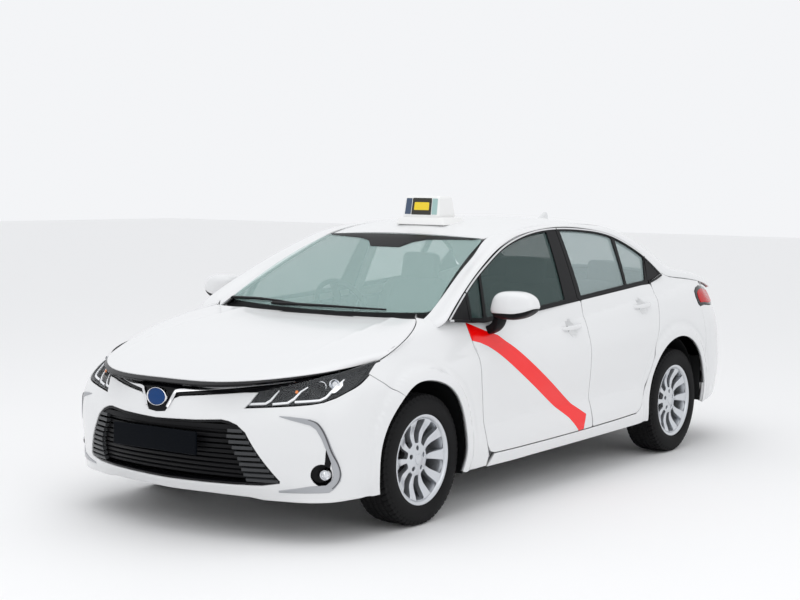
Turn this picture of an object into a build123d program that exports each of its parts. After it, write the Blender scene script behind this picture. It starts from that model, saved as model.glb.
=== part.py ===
"""Four-door taxi sedan at its real size, in millimetres.

+Z is up, the nose points to -Y and the car's left side is +X. The ground is Z = 0 and the
origin lies on it below the middle of the car. The body is one closed outer hull, the same
hull drawn again at several depths, and the panels are cut from the walls between them.
"""
import os
from math import cos, radians, sin

from build123d import *

os.makedirs("parts", exist_ok=True)

# ---- driving dimensions ---------------------------------------------------------------
front_axle_y = -1380.0
rear_axle_y = 1320.0
front_track = 1531.0
rear_track = 1544.0
tyre_radius = 316.0
tyre_width = 205.0
rim_radius = 208.0
rim_lip = 12.0
arch_radius = 362.0
arch_lift = 24.0
front_liner_radius = 392.0
liner_wall = 8.0

panel = 22.0
bumper_wall = 22.0
frame_wall = 60.0
door_wall = 95.0
rebate = 6.0
shut_gap = 6.0
door_lip = 20.0
door_core_inset = 37.0
seat_gap = 0.3
glass = 5.0
glass_depth = 6.0
glass_border = 26.0

belt_height = 963.0
belt_rise = 0.0605
floor_height = 190.0
floor_plate = 25.0
kingpin_low = (700.0, 200.0)
kingpin_high = (575.0, 800.0)
ball_joint_z = 188.0

# ---- plain shapes ---------------------------------------------------------------------
def block(x0, x1, y0, y1, z0, z1):
    """A box given by its faces."""
    middle = Pos((x0 + x1) / 2, (y0 + y1) / 2, (z0 + z1) / 2)
    return middle * Box(abs(x1 - x0), abs(y1 - y0), abs(z1 - z0))


def side_prism(points, x0=-1000.0, x1=1000.0, grow=0.0):
    """A (y, z) outline drawn across the car from x0 to x1, its edge moved out by grow."""
    face = make_face(Polyline(*points, close=True))
    if grow:
        face = offset(face, amount=grow, kind=Kind.INTERSECTION)
    return extrude(Plane.YZ.offset(x0) * face, amount=x1 - x0)


def plan_prism(points, z0, z1, grow=0.0):
    """An (x, y) outline drawn up from z0 to z1, its edge moved out by grow."""
    face = make_face(Polyline(*points, close=True))
    if grow:
        face = offset(face, amount=grow, kind=Kind.INTERSECTION)
    return extrude(Plane.XY.offset(z0) * face, amount=z1 - z0)


def front_prism(points, y0, y1, grow=0.0):
    """An (x, z) outline drawn along the car from y0 to y1, its edge moved out by grow."""
    face = make_face(Polyline(*points, close=True))
    if grow:
        face = offset(face, amount=grow, kind=Kind.INTERSECTION)
    plane = Plane(origin=(0, y1, 0), x_dir=(1, 0, 0), z_dir=(0, -1, 0))
    return extrude(plane * face, amount=y1 - y0)


def both_sides(half):
    """A half outline that starts and ends on the middle, completed with its mirror image."""
    return half + [(-x, other) for x, other in reversed(half[1:-1])]


def drum(x0, x1, y, z, radius):
    """A solid cylinder lying along X."""
    middle = Pos((x0 + x1) / 2, y, z) * Rot(0, 90, 0)
    return middle * Cylinder(radius, abs(x1 - x0))


def rod(start, end, radius):
    """A round bar between two points."""
    plane = Plane(origin=start, z_dir=Vector(*end) - Vector(*start))
    length = (Vector(*end) - Vector(*start)).length
    return extrude(plane * Circle(radius), amount=length)


def mirrored(shape):
    """The same shape on the other side of the car."""
    return mirror(shape, about=Plane.YZ)


def arcs(points):
    """A closed outline of arcs, each through three points that follow one another."""
    starts = range(0, len(points), 2)
    around = points + points[:1]
    return [ThreePointArc(*around[i:i + 3]) for i in starts]


# ---- outer hull -----------------------------------------------------------------------
# Lower body outlines. Columns: height at y = 0, rise along the car, nose y, x and y where the
# front corner starts, x and y at its middle, half widths behind it, amidships and at the tail,
# x and y at the middle of the rear corner and where it ends, tail y.
levels = [
    (190, 0.00, -2190, 600, -2085, 785, -1985, 855, 855, 845, 780, 2060, 650, 2180, 2210),
    (300, 0.00, -2262, 600, -2125, 790, -1985, 872, 874, 862, 820, 2075, 690, 2250, 2285),
    (450, 0.00, -2309, 600, -2150, 788, -2000, 880, 882, 880, 838, 2092, 700, 2280, 2315),
    (620, 0.03, -2295, 600, -2135, 768, -2010, 882, 888, 880, 832, 2080, 700, 2262, 2300),
    (800, 0.05, -2272, 580, -2060, 755, -1930, 858, 888, 830, 775, 2000, 640, 2205, 2245),
    (963, 0.06, -2120, 480, -1960, 635, -1860, 735, 812, 735, 672, 1985, 540, 2135, 2190),
    (1150, 0.06, -1950, 360, -1800, 480, -1710, 570, 720, 620, 560, 1900, 450, 2020, 2080),
]
front_corner_y = -1720.0
rear_corner_y = 1750.0
hull_depth = 60.0


def level_outline(row, inset, drop=0.0):
    """One closed outline of the lower body, moved in by inset."""
    z, rise, nose, a_x, a_y, m_x, m_y, b_x, c_x, d_x, n_x, n_y, e_x, e_y, tail = row
    half = [
        (0, nose + inset),
        (a_x - 0.35 * inset, a_y + 0.94 * inset),
        (m_x - 0.8 * inset, m_y + 0.6 * inset),
        (b_x - inset, front_corner_y + 0.2 * inset),
        (c_x - inset, 0),
        (d_x - inset, rear_corner_y - 0.1 * inset),
        (n_x - 0.8 * inset, n_y - 0.6 * inset),
        (e_x - 0.3 * inset, e_y - 0.95 * inset),
        (0, tail - inset),
    ]
    plane = Plane(origin=(0, 0, z - drop), x_dir=(1, 0, 0), z_dir=(0, -rise, 1))
    return outline_on(plane, half)


def outline_on(plane, half):
    """Arcs through a half outline that starts and ends on the middle, and its mirror."""
    ring = both_sides(half)
    around = ring[1:] + ring[:1]
    return plane * make_face(arcs(around))


# Deck profiles, (y, z) at the middle and at deck_half. Columns: y, z there, z at deck_half.
deck_half = 900.0
deck_points = [
    (-2290, 700, 640),
    (-1720, 868, 800),
    (-1130, 950, 915),
    (1700, 1102, 1075),
    (1950, 1083, 1036),
    (2200, 1036, 986),
]
deck_nose = (-2600.0, 560.0)
deck_tail = (2600.0, 930.0)


def deck(inset):
    """Everything below the hood, the waist and the boot lid, moved down by inset."""
    sections = []
    for x in (-deck_half, 0.0, deck_half):
        tops = [(y, (mid if x == 0.0 else edge) - inset) for y, mid, edge in deck_points]
        nose = (deck_nose[0], deck_nose[1] - inset)
        tail = (deck_tail[0], deck_tail[1] - inset)
        edges = [
            Line(nose, tops[0]),
            ThreePointArc(tops[0], tops[1], tops[2]),
            Line(tops[2], tops[3]),
            ThreePointArc(tops[3], tops[4], tops[5]),
            Line(tops[5], tail),
            Line(tail, (tail[0], 0)),
            Line((tail[0], 0), (nose[0], 0)),
            Line((nose[0], 0), nose),
        ]
        sections.append(Plane.YZ.offset(x) * make_face(edges))
    return loft(sections)


def lower_hull(inset):
    """The body below the windows, moved in by inset; an inner hull runs out of the bottom."""
    drop = hull_depth if inset else 0.0
    sections = [level_outline(row, inset) for row in levels]
    if drop:
        sections[0] = level_outline(levels[0], inset, drop)
    return loft(sections, ruled=True) & deck(inset)


# Cabin outlines. Columns: x and y near the waist, x and y at the roof, and how far x and y
# move in for each millimetre of wall.
cabin_low_z = 800.0
cabin_top_z = 1450.0
cabin_points = [
    (0, -1566, 0, -200, 0.0, 2.1),
    (702, -1489, 500, -150, 0.3, 1.9),
    (777, -1473, 550, -100, 0.75, 1.3),
    (828, -1411, 570, 0, 1.05, 0.4),
    (872, 40, 575, 300, 1.09, 0.0),
    (848, 1426, 563, 750, 1.07, -0.3),
    (772, 1830, 545, 960, 0.85, -1.4),
    (620, 2090, 470, 1040, 0.35, -2.1),
    (0, 2176, 0, 1080, 0.0, -2.3),
]
# Roof profile. Columns: y, z at the middle, z at roof_half.
roof_half = 900.0
roof_points = [
    (-1500, 1000, 900),
    (-400, 1345, 1255),
    (-60, 1411, 1316),
    (300, 1437, 1338),
    (770, 1429, 1328),
    (1240, 1376, 1274),
    (2300, 1120, 1030),
]


def roof_cap(inset):
    """Everything below the roof, moved down by inset."""
    sections = []
    for x in (-roof_half, 0.0, roof_half):
        tops = [(y, (mid if x == 0.0 else edge) - inset) for y, mid, edge in roof_points]
        front, rear = tops[0], tops[-1]
        edges = [
            Line(front, tops[1]),
            ThreePointArc(tops[1], tops[2], tops[3]),
            ThreePointArc(tops[3], tops[4], tops[5]),
            Line(tops[5], rear),
            Line(rear, (rear[0], 0)),
            Line((rear[0], 0), (front[0] - 200, 0)),
            Line((front[0] - 200, 0), (front[0] - 200, front[1])),
            Line((front[0] - 200, front[1]), front),
        ]
        sections.append(Plane.YZ.offset(x) * make_face(edges))
    return loft(sections)


def cabin_hull(inset):
    """The cabin above the waist, moved in by inset."""
    low = [(x - a * inset, y + b * inset) for x, y, _, _, a, b in cabin_points]
    top = [(x - a * inset, y + b * inset) for _, _, x, y, a, b in cabin_points]
    low_plane = Plane(origin=(0, 0, cabin_low_z), x_dir=(1, 0, 0), z_dir=(0, -0.06, 1))
    top_plane = Plane(origin=(0, 0, cabin_top_z))
    sides = loft([outline_on(low_plane, low), outline_on(top_plane, top)], ruled=True)
    return sides & (roof_cap(inset) + block(-1000, 1000, -2500, 2500, 0, 1050 - inset))


def whole_hull(inset):
    """Lower body and cabin together, moved in by inset."""
    return lower_hull(inset) + cabin_hull(inset)


# ---- outlines that the panels share ---------------------------------------------------
# Window band, (y, z): from the front tip over the roof side to the rear tip and back.
window_band = [
    (-1091, 960), (-880, 1080), (-735, 1152), (-560, 1225), (-400, 1284), (-214, 1332),
    (8, 1367), (229, 1380), (586, 1368), (879, 1326), (1062, 1261), (1195, 1191),
    (1331, 1085), (1141, 1047), (795, 1029), (248, 994), (-233, 964), (-785, 938),
]
# Door outlines, (y, z), counter-clockwise from the lower front corner.
front_door = [
    (-788, 272), (-100, 281), (200, 290), (196, 450), (200, 600), (215, 800), (222, 990),
    (262, 1388), (229, 1389), (8, 1376), (-214, 1341), (-400, 1293), (-560, 1234),
    (-735, 1161), (-888, 1083), (-912, 940), (-910, 835), (-911, 646), (-859, 322),
]
rear_door = [
    (206, 290), (770, 305), (845, 364), (990, 624), (1070, 824), (1134, 1005), (1146, 1047),
    (1201, 1191), (1062, 1271), (879, 1336), (586, 1378), (272, 1388), (232, 990), (225, 800),
    (210, 600), (206, 450),
]
# Inner limit of the doors from above, (x, y): the A-pillar, the roof rail and the C-pillar.
door_plan = [
    (775, -1120), (700, -735), (648, -400), (624, -214), (602, 8), (596, 229), (602, 586),
    (620, 879), (645, 1062), (668, 1195), (690, 1400), (1100, 1400), (1100, -1120),
]
# Window panes: node, then y at pane_low and at pane_high of the front and rear edge.
pane_low = 1000.0
pane_high = 1400.0
panes = [
    ("front", -879, -845, -775, -620),
    ("front", -745, -590, 82, 160),
    ("rear", 272, 302, 822, 902),
    ("rear", 850, 930, 1092, 1250),
]
hood_front = [(0, -2272), (250, -2260), (450, -2160), (600, -2030), (700, -1845), (782, -1625)]
hood_rear = [(765, -1460), (705, -1260), (655, -1168), (400, -1138), (0, -1126)]
windscreen_edge = [(0, -382), (270, -368), (526, -318), (600, -700), (655, -1010), (350, -1050),
                   (0, -1064)]
rear_window_edge = [(0, 1790), (350, 1765), (560, 1690), (520, 1420), (470, 1215), (250, 1235),
                    (0, 1243)]
roof_edge = [(0, -382), (270, -368), (526, -318), (545, 0), (552, 350), (542, 750),
             (518, 1150), (470, 1215), (250, 1235), (0, 1243)]
boot_edge = [(0, 1802), (350, 1790), (520, 1752), (558, 2000), (604, 2150), (604, 2500),
             (0, 2500)]
boot_low_z = 690.0
hood_low_z = 712.0
lamp_low = [(-2400, 560), (-2175, 618), (-1740, 748), (-1600, 800), (-1600, 900), (-2400, 900)]
lamp_inner_x = 425.0
bumper_seam = [(-2500, 100), (-1700, 100), (-1600, 655), (-1740, 748), (-2175, 618),
               (-2500, 525)]
nose_bar_z = (655.0, 706.0)
tail_seam = [(2600, 100), (1640, 100), (1640, 600), (1800, 690), (1950, 860), (2600, 905)]
tail_lamp_side = [(1745, 868), (1990, 868), (2600, 868), (2600, 990), (1740, 990)]
tail_lamp_inner_x = 611.0
scuttle_edge = [(0, -1120), (400, -1132), (651, -1161), (740, -1090), (655, -1010), (350, -1050),
                (0, -1064)]
grille_half = [(0, 545), (356, 561), (441, 535), (590, 276), (540, 256), (0, 256)]
pod_half = [(0, 574), (51, 574), (88, 620), (114, 674), (114, 706), (0, 706)]
grille_low = 256.0
grille_high = 545.0
grille_depth = 45.0
grille_ring = 12.0
slat_count = 10
slat_thick = 9.0
slat_inset = 8.0
slat_depth = 30.0
rib_places = (-330.0, -110.0, 110.0, 330.0)
badge_z = 637.0
badge_back_y = -2270.0
lamp_depth = 60.0
cowl_wall = 30.0
frame_inner_x = 500.0
pillar_weld_y = -450.0    # the windscreen pillar is welded on behind here
pillar_weld_z = 880.0     # and above the hinge pillar here
cup_radius = 40.0
handle_half = 115.0
handle_places = {"front": (866.0, 43.0, 842.0), "rear": (850.0, 896.0, 918.0)}
mirror_place = (967.0, -752.0, 1028.0)
mirror_size = (184.0, 110.0, 132.0)
mirror_foot_x = 812.0
door_stop_z = (715.0, 785.0)
stop_radius = 12.0
latch_half = 30.0
latch_high = 56.0
liner_low_z = 195.0
tower_radius = 100.0
tower_x = 592.0
rail_place = 425.0
front_liner_x = 470.0
rear_liner_x = 640.0
boot_floor_z = 400.0
shelf_front_y = 1370.0
shelf_z = 1000.0
sill_inner_x = 650.0
hub_back = 40.0
hub_radius = 70.0
disc_radius = 140.0
spoke_count = 10
spoke_x = 58.0
spoke_width = 26.0
wheel_centre = (-370.0, -420.0, 915.0)
column_axis = (0.0, cos(radians(24)), sin(radians(24)))
wheel_ring = 172.0
hub_drop = 50.0
seat_x = 370.0
plate_half = 260.0
front_plate_z = (397.0, 503.0)
rear_plate_z = (780.0, 890.0)
rear_plate_y = 2283.0
screw_space = 240.0
screw_radius = 3.0


def pane_prism(pane):
    """The space of one window pane, across the car."""
    _, low_front, high_front, low_rear, high_rear = pane
    run = (pane_high - pane_low) / 4
    front = (high_front - low_front) / 4
    rear = (high_rear - low_rear) / 4
    corners = [
        (low_front - front, pane_low - run), (low_rear - rear, pane_low - run),
        (high_rear, pane_high), (high_front, pane_high),
    ]
    band = side_prism(window_band, 0.0, grow=-glass_border)
    return side_prism(corners, 0.0) & band & plan_prism(door_plan, 900, 1500, -glass_border)


def door_space(name, grow=0.0):
    """The space of a left door, its edges moved out by grow."""
    side = side_prism(door_outlines[name], 0.0, grow=grow)
    return side & plan_prism(door_plan, 0, 1500, grow)


def waist_prism(lift):
    """Everything above the waist, lifted by lift."""
    ends = [(y, belt_height + belt_rise * y + lift) for y in (-2500, 2500)]
    return side_prism(ends + [(2500, 2500), (-2500, 2500)])


# ---- hulls and cutting shapes used more than once ---------------------------------------
outer = whole_hull(0.0)
under_panel = whole_hull(panel)
under_frame = whole_hull(frame_wall)
inner_room = whole_hull(frame_wall + seat_gap)
panel_shell = outer - under_panel
bumper_shell = outer - whole_hull(bumper_wall)
frame_shell = outer - under_frame
under_rebate = whole_hull(panel + rebate)
hood_outline = both_sides(hood_front + hood_rear)
hood_opening = plan_prism(hood_outline, hood_low_z - shut_gap, 1150, grow=shut_gap)
windscreen_prism = plan_prism(both_sides(windscreen_edge), 900, 1500)
rear_window_prism = plan_prism(both_sides(rear_window_edge), 1050, 1500)
roof_prism = plan_prism(both_sides(roof_edge), 1200, 1500)
scuttle_prism = plan_prism(both_sides(scuttle_edge), 800, 1150)
boot_prism = plan_prism(both_sides(boot_edge), boot_low_z, 1300)
boot_opening = plan_prism(both_sides(boot_edge), boot_low_z - shut_gap, 1300, grow=shut_gap)
front_arch = drum(-1000, 1000, front_axle_y, tyre_radius + arch_lift, arch_radius)
rear_arch = drum(-1000, 1000, rear_axle_y, tyre_radius + arch_lift, arch_radius)
left_half = block(0, 1200, -3000, 3000, -100, 2000)
lamp_space = side_prism(lamp_low) - block(-lamp_inner_x, lamp_inner_x, -2500, 0, 0, 1200)
tail_lamp_space = side_prism(tail_lamp_side)
tail_lamp_space -= block(-tail_lamp_inner_x, tail_lamp_inner_x, 1500, 3000, 0, 1200)
door_outlines = {"front": front_door, "rear": rear_door}


# ---- body panels ----------------------------------------------------------------------
def front_fenders():
    """Both wings, from the bumper seam to the front doors."""
    region = side_prism([
        (-1600, 655), (-1740, 748), (-1600, 800), (-1600, 1000), (-1180, 1000), (-1091, 960),
        (-918, 945), (-918, 640), (-866, 318), (-850, 290), (-850, 180), (-1600, 180),
    ])
    wings = panel_shell & region - block(-300, 300, -2500, 0, 0, 1200)
    return wings - hood_opening - front_arch - scuttle_prism - windscreen_prism


def front_bumper():
    """The bumper skin, open at the grille, below the headlamps and the nose bar."""
    centre = block(-lamp_inner_x, lamp_inner_x, -2500, -1900, 300, nose_bar_z[0])
    skin = bumper_shell & (side_prism(bumper_seam) + centre)
    skin -= front_arch
    skin -= hood_opening
    return skin - grille_space(0.0) - badge_pod_space(0.0)


def grille_space(grow):
    """The lower grille's opening, its edge moved out by grow."""
    return front_prism(both_sides(grille_half), -2500, -1900, grow)


def badge_pod_space(grow):
    """The pod that hangs from the nose bar over the bumper."""
    return front_prism(both_sides(pod_half), -2500, -2150, grow)


def grille():
    """Nose bar, badge pod and the slats of the lower grille in their frame."""
    depth = lower_hull(0.0) - lower_hull(grille_depth)
    opening = grille_space(0.0)
    ring = depth & (opening - grille_space(-grille_ring))
    field = (lower_hull(slat_inset) - lower_hull(slat_inset + slat_depth)) & opening
    pitch = (grille_high - grille_low) / slat_count
    slats = []
    for number in range(slat_count):
        low = grille_low + pitch * (number + 0.5) - slat_thick / 2
        slats.append(field & block(-700, 700, -2500, -1900, low, low + slat_thick))
    back = (lower_hull(slat_inset + 10) - lower_hull(slat_inset + slat_depth)) & opening
    ribs = [back & block(x - 4, x + 4, -2500, -1900, 200, 600) for x in rib_places]
    bar_low, bar_high = nose_bar_z
    bar = block(-lamp_inner_x, lamp_inner_x, -2500, -2000, bar_low, bar_high)
    bar = depth & (bar - hood_opening) & block(-900, 900, -2600, -2000, 0, 900)
    pod = depth & (badge_pod_space(0.0) - hood_opening)
    badge_plane = Plane(origin=(0, badge_back_y, badge_z), x_dir=(1, 0, 0), z_dir=(0, -1, 0))
    badge = extrude(badge_plane * Ellipse(63, 50), amount=30)
    screws = plate_screws(-2400.0, sum(front_plate_z) / 2)
    return ring + slats + ribs + [bar, pod, badge] - screws


def headlamps():
    """Both headlamps, closed units behind their lenses."""
    unit = (outer - whole_hull(lamp_depth)) & lamp_space
    house = drum(-1000, 1000, front_axle_y, tyre_radius + arch_lift, front_liner_radius + 9)
    unit -= house & under_panel
    return unit - hood_opening - front_arch - side_prism(bumper_seam)


def tail_lamps():
    """Both tail lamps, closed units at the rear corners."""
    return frame_shell & tail_lamp_space - boot_opening


def rear_bumper():
    """The rear bumper skin, from one wheel arch round to the other."""
    step = block(-tail_lamp_inner_x, tail_lamp_inner_x, 1900, 2500, boot_low_z - shut_gap, 1200)
    skin = bumper_shell & side_prism(tail_seam)
    return skin - step - rear_arch - tail_lamp_space - boot_opening


def hood():
    """The hood, a pan with its edges turned down."""
    skin = lower_hull(0.0) - lower_hull(panel)
    lid = skin & plan_prism(hood_outline, hood_low_z, 1100)
    return lid - cabin_hull(-shut_gap)


def boot_lid():
    """The boot lid: its top and its upright rear face."""
    skin = lower_hull(0.0) - lower_hull(bumper_wall)
    skin = skin & boot_prism - cabin_hull(-shut_gap)
    return skin - plate_screws(2400.0, sum(rear_plate_z) / 2)


def side_frame():
    """The left side of the body: pillars, roof rail, sill and rear quarter in one."""
    region = side_prism([
        (-918, 945), (-1091, 960), (-1180, 1000), (-1180, 1100), (-300, 1500),
        (1400, 1500), (2500, 1150), (2500, 905), (1950, 860), (1800, 690), (1640, 600),
        (1640, 100), (-850, 100), (-850, 290), (-866, 318), (-918, 640),
    ])
    frame = frame_shell & region & left_half
    frame -= block(-frame_inner_x, frame_inner_x, -1300, 2600, 0, 1250)
    for name in door_outlines:
        frame -= door_space(name, shut_gap) - under_rebate
        frame -= door_space(name, -door_lip)
    frame = frame - rear_arch - windscreen_prism - rear_window_prism - roof_prism
    frame = frame - boot_opening - tail_lamp_space - scuttle_prism
    frame -= side_prism(tail_seam)
    shell = frame - block(0, 1100, -1300, pillar_weld_y, pillar_weld_z, 1500)
    y, z = pillar_weld_y - seat_gap, pillar_weld_z + seat_gap
    pillar = frame & block(0, 1100, -1300, y, z, 1500)
    return shell + [pillar, door_stop("front", 262), door_stop("rear", 1134)]


def door_stop(name, end_y):
    """The rubber stop under a left door's trailing edge, on the frame's lip."""
    low, high = door_stop_z
    lip = door_space(name) - door_space(name, -door_lip)
    lip &= block(500, 1000, end_y - 180, end_y, low, high)
    return lip & (whole_hull(panel + seat_gap) - under_frame)


def roof_panel():
    """The roof skin between the two roof rails."""
    return (cabin_hull(0.0) - cabin_hull(panel)) & roof_prism


def scuttle():
    """The plastic cowl between the hood and the windscreen."""
    cover = (outer - whole_hull(cowl_wall)) & scuttle_prism
    return cover - hood_opening - windscreen_prism


# ---- doors and glass ------------------------------------------------------------------
def door(name):
    """A left door: the outer skin with the window frame, and the thick box below the waist."""
    skin = panel_shell & door_space(name)
    core = lower_hull(panel - 5) - lower_hull(door_wall)
    core &= door_space(name, -door_core_inset) - waist_prism(-10.0)
    leaf = skin + (core - cabin_hull(frame_wall))
    leaf -= front_arch + rear_arch_gap()
    for pane in panes:
        if pane[0] == name:
            leaf -= pane_prism(pane)
    return leaf - handle_cup(name)


def rear_arch_gap():
    """Room round the rear wheel arch for the rear door's edge."""
    return drum(-1000, 1000, rear_axle_y, tyre_radius + arch_lift, arch_radius + shut_gap)


def handle_cup(name):
    """The recess behind a door handle."""
    x, y, z = handle_places[name]
    return Pos(x + 14, y, z) * Sphere(cup_radius)


def handle(name):
    """A pull handle standing on the door skin at both its ends."""
    x, y, z = handle_places[name]
    grip = block(x + 8, x + 26, y - handle_half, y + handle_half, z - 11, z + 11)
    grip = fillet(grip.edges().filter_by(Axis.Y), radius=6)
    for end in (-1, 1):
        foot_y = y + end * (handle_half - 12)
        grip += block(x - 12, x + 17, foot_y - 10, foot_y + 10, z - 8, z + 8)
    return grip


def door_glass(name):
    """The panes of one left door."""
    sheet = cabin_hull(glass_depth) - cabin_hull(glass_depth + glass)
    parts = [sheet & pane_prism(pane) for pane in panes if pane[0] == name]
    return parts[0] + parts[1]


def windscreen():
    """The laminated windscreen."""
    return (cabin_hull(1.0) - cabin_hull(1.0 + glass)) & windscreen_prism


def rear_window():
    """The heated rear window."""
    return (cabin_hull(1.0) - cabin_hull(1.0 + glass)) & rear_window_prism


def door_mirror():
    """The left door mirror: a housing on its foot, seated on the door skin."""
    shell = Pos(*mirror_place) * Box(*mirror_size)
    shell = fillet(shell.edges(), radius=30)
    foot = rod((mirror_foot_x, mirror_place[1] - 10, 885), (915, mirror_place[1], 985), 22)
    return shell + (foot - lower_hull(-seat_gap) - cabin_hull(-seat_gap))


# ---- underbody ------------------------------------------------------------------------
def wheel_house(axle_y, radius, inner_x, hull):
    """The liners over one pair of wheels: a half barrel and its inner wall, left and right."""
    z = tyre_radius + arch_lift
    wall = drum(inner_x - liner_wall, 1000, axle_y, z, radius + liner_wall)
    wall -= drum(inner_x, 1001, axle_y, z, radius)
    wall -= block(inner_x - 100, 1100, axle_y - 600, axle_y + 600, -100, liner_low_z)
    wall -= block(inner_x - 20, inner_x + 2, axle_y - 170, axle_y + 170, 0, 380)
    wall &= hull
    return wall


def wheel_space(axle_y, radius, inner_x):
    """The room of a wheel house on the left side."""
    z = tyre_radius + arch_lift
    return drum(inner_x - liner_wall, 1100, axle_y, z, radius + liner_wall)


def strut_tower():
    """The dome that holds the top of a front strut."""
    z = kingpin_high[1]
    cup = Pos(tower_x, front_axle_y, z - 55) * Cylinder(tower_radius, 140)
    return cup - tower_room()


def tower_room():
    """The room inside a strut tower."""
    z = kingpin_high[1]
    return Pos(tower_x, front_axle_y, z - 100) * Cylinder(tower_radius - 12, 200)


def bay_room():
    """The room that the floor, rails and boot floor leave for the four wheel liners."""
    left = [
        wheel_space(front_axle_y, front_liner_radius + seat_gap, front_liner_x - seat_gap),
        wheel_space(rear_axle_y, arch_radius + seat_gap, rear_liner_x - seat_gap),
        Pos(tower_x, front_axle_y, kingpin_high[1] - 55) * Cylinder(tower_radius + seat_gap, 142),
    ]
    return left + [mirrored(space) for space in left]


def floor_pan():
    """Cabin floor, tunnel, firewall and cowl."""
    low = floor_height
    floor_half = sill_inner_x - seat_gap
    pan = block(-floor_half, floor_half, -1010, 895, low, low + floor_plate)
    pan += block(-130, 130, -1000, 895, low, 330)
    pan += block(-900, 900, -1010, -990, low, 900)
    pan &= inner_room
    cowl = (whole_hull(cowl_wall + seat_gap) - inner_room) & scuttle_prism
    cowl &= block(-640, 640, -1300, -1000, 850, 1000)
    pan += block(-640, 640, -1040, -990, 850, 935) & inner_room
    return pan + cowl - bay_room()


def boot_floor():
    """Boot floor, seat back panel, parcel shelf and rear panel with the lid's striker."""
    rear_low = boot_floor_z - floor_plate
    deck = block(-900, 900, 895, 920, floor_height, rear_low)
    deck += [
        block(-900, 900, 895, 2250, rear_low, boot_floor_z),
        block(-900, 900, shelf_front_y, 1810, shelf_z - 15, shelf_z),
        block(-600, 600, shelf_front_y, shelf_front_y + 10, rear_low, shelf_z),
        block(-610, 610, 2200, 2225, rear_low, boot_low_z - shut_gap),
    ]
    return (deck & inner_room) + boot_latch() - bay_room()


def front_rails():
    """The two rails, the cross bar and the lamp bar in front of the engine."""
    frame = block(-rail_place - 30, rail_place + 30, -2110, -2080, 400, 480)
    for rail_x in (-rail_place, rail_place):
        frame += block(rail_x - 30, rail_x + 30, -2080, -1010, 400, 480)
        frame += block(rail_x - 30, rail_x + 30, -2140, -2080, 400, 612)
    bar_half = lamp_inner_x - seat_gap
    frame += (lower_hull(grille_depth + seat_gap) - lower_hull(110.0)) & block(
        -bar_half, bar_half, -2400, -2050, 585, 640)
    return frame - bay_room()


def front_liners():
    """Both front wheel liners with the strut towers and the hood's bump stops."""
    hull = whole_hull(panel + seat_gap)
    liner = wheel_house(front_axle_y, front_liner_radius, front_liner_x, hull) - tower_room()
    liner += [strut_tower(), hood_stop()]
    return liner + mirrored(liner)


def rear_liners():
    """Both rear wheel liners."""
    liner = wheel_house(rear_axle_y, arch_radius, rear_liner_x, inner_room)
    return liner + mirrored(liner)


def hood_stop():
    """The left bump stop that the hood rests on, on top of the strut tower."""
    z = kingpin_high[1]
    stop = rod((tower_x, front_axle_y, z), (tower_x, front_axle_y, z + 200), stop_radius)
    return stop & lower_hull(panel + seat_gap)


def boot_latch():
    """The striker for the boot lid, on the rear panel."""
    top = boot_low_z + latch_high
    post = block(-latch_half, latch_half, 2200, 2500, boot_low_z - latch_high, top)
    return post & lower_hull(bumper_wall + seat_gap)


def sill_beam():
    """The left sill's closed box under the doors."""
    return outer & block(sill_inner_x, 1000, -840, 800, floor_height, 250)


def radiator():
    """Radiator and its fan cowl behind the grille, one closed block."""
    return block(-380, 380, -2079.7, -2035, 262, 640)


def engine():
    """Engine and gearbox as one plain block on its two mounts, with the drive shafts."""
    unit = block(-330, 330, -1600, -1150, 262, 700)
    for x in (-250, 250):
        unit += Pos(x, front_axle_y, 250) * Cylinder(40, 29.4)
    shafts = rod((-600, front_axle_y, tyre_radius), (600, front_axle_y, tyre_radius), 14)
    return unit + shafts


def kingpin_at(z):
    """The point of the left kingpin line at a height."""
    slope = (kingpin_high[0] - kingpin_low[0]) / (kingpin_high[1] - kingpin_low[1])
    return (kingpin_low[0] + slope * (z - kingpin_low[1]), front_axle_y, z)


def front_subframe():
    """Cross member and the two lower arms that carry the steering knuckles."""
    frame = block(-380, 380, -1470, -1290, 185, 235)
    for side in (1, -1):
        for y in (-1300, -1440):
            frame += rod((side * 360, y, 205), (side * 700, front_axle_y, 172), 12)
    socket = rod(kingpin_at(158), kingpin_at(ball_joint_z), 32)
    room = rod(kingpin_at(ball_joint_z), kingpin_at(230), 45)
    frame = frame + [socket, mirrored(socket)] - [room, mirrored(room)]
    for side in (1, -1):
        frame += block(side * rail_place - 20, side * rail_place + 20, -1345, -1295, 200, 399.7)
    return frame


def rear_axle():
    """Cross beam, trailing arms, dampers and the stub axles of the rear wheels."""
    beam = block(-590, 590, 1150, 1220, 250, 310)
    for side in (1, -1):
        hub_x = side * (rear_track / 2 - hub_back)
        beam += rod((side * 560, 930, 330), (side * 560, 1190, 280), 28)
        beam += rod((side * 575, 1180, 280), (side * 600, rear_axle_y, tyre_radius), 28)
        beam += rod((side * 590, rear_axle_y, tyre_radius), (hub_x - side * 0.5, rear_axle_y,
                                                          tyre_radius), 30)
        beam += rod((side * 585, 1300, 290), (side * 560, 1360, boot_floor_z - 27), 24)
    return beam - block(-900, 900, 880, 1500, boot_floor_z - floor_plate - seat_gap, 900) \
        - block(-900, 900, 860, 921, 0, 900)


def exhaust():
    """Pipe and rear silencer."""
    pipe = rod((-60, -1100, 165), (-60, 1500, 165), 25)
    pipe += rod((-60, 1480, 165), (-60, 1850, 270), 25)
    pipe += Pos(0, 1900, 285) * Rot(0, 90, 0) * Cylinder(80, 620)
    pipe += rod((-330, 1930, 285), (-480, 2180, 250), 24)
    pipe += block(-200, -160, 1880, 1920, 300, boot_floor_z - floor_plate - seat_gap)
    pipe += block(160, 200, 1880, 1920, 300, boot_floor_z - floor_plate - seat_gap)
    pipe += block(-80, -40, -900, -880, 165, floor_height - seat_gap)
    return pipe


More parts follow.
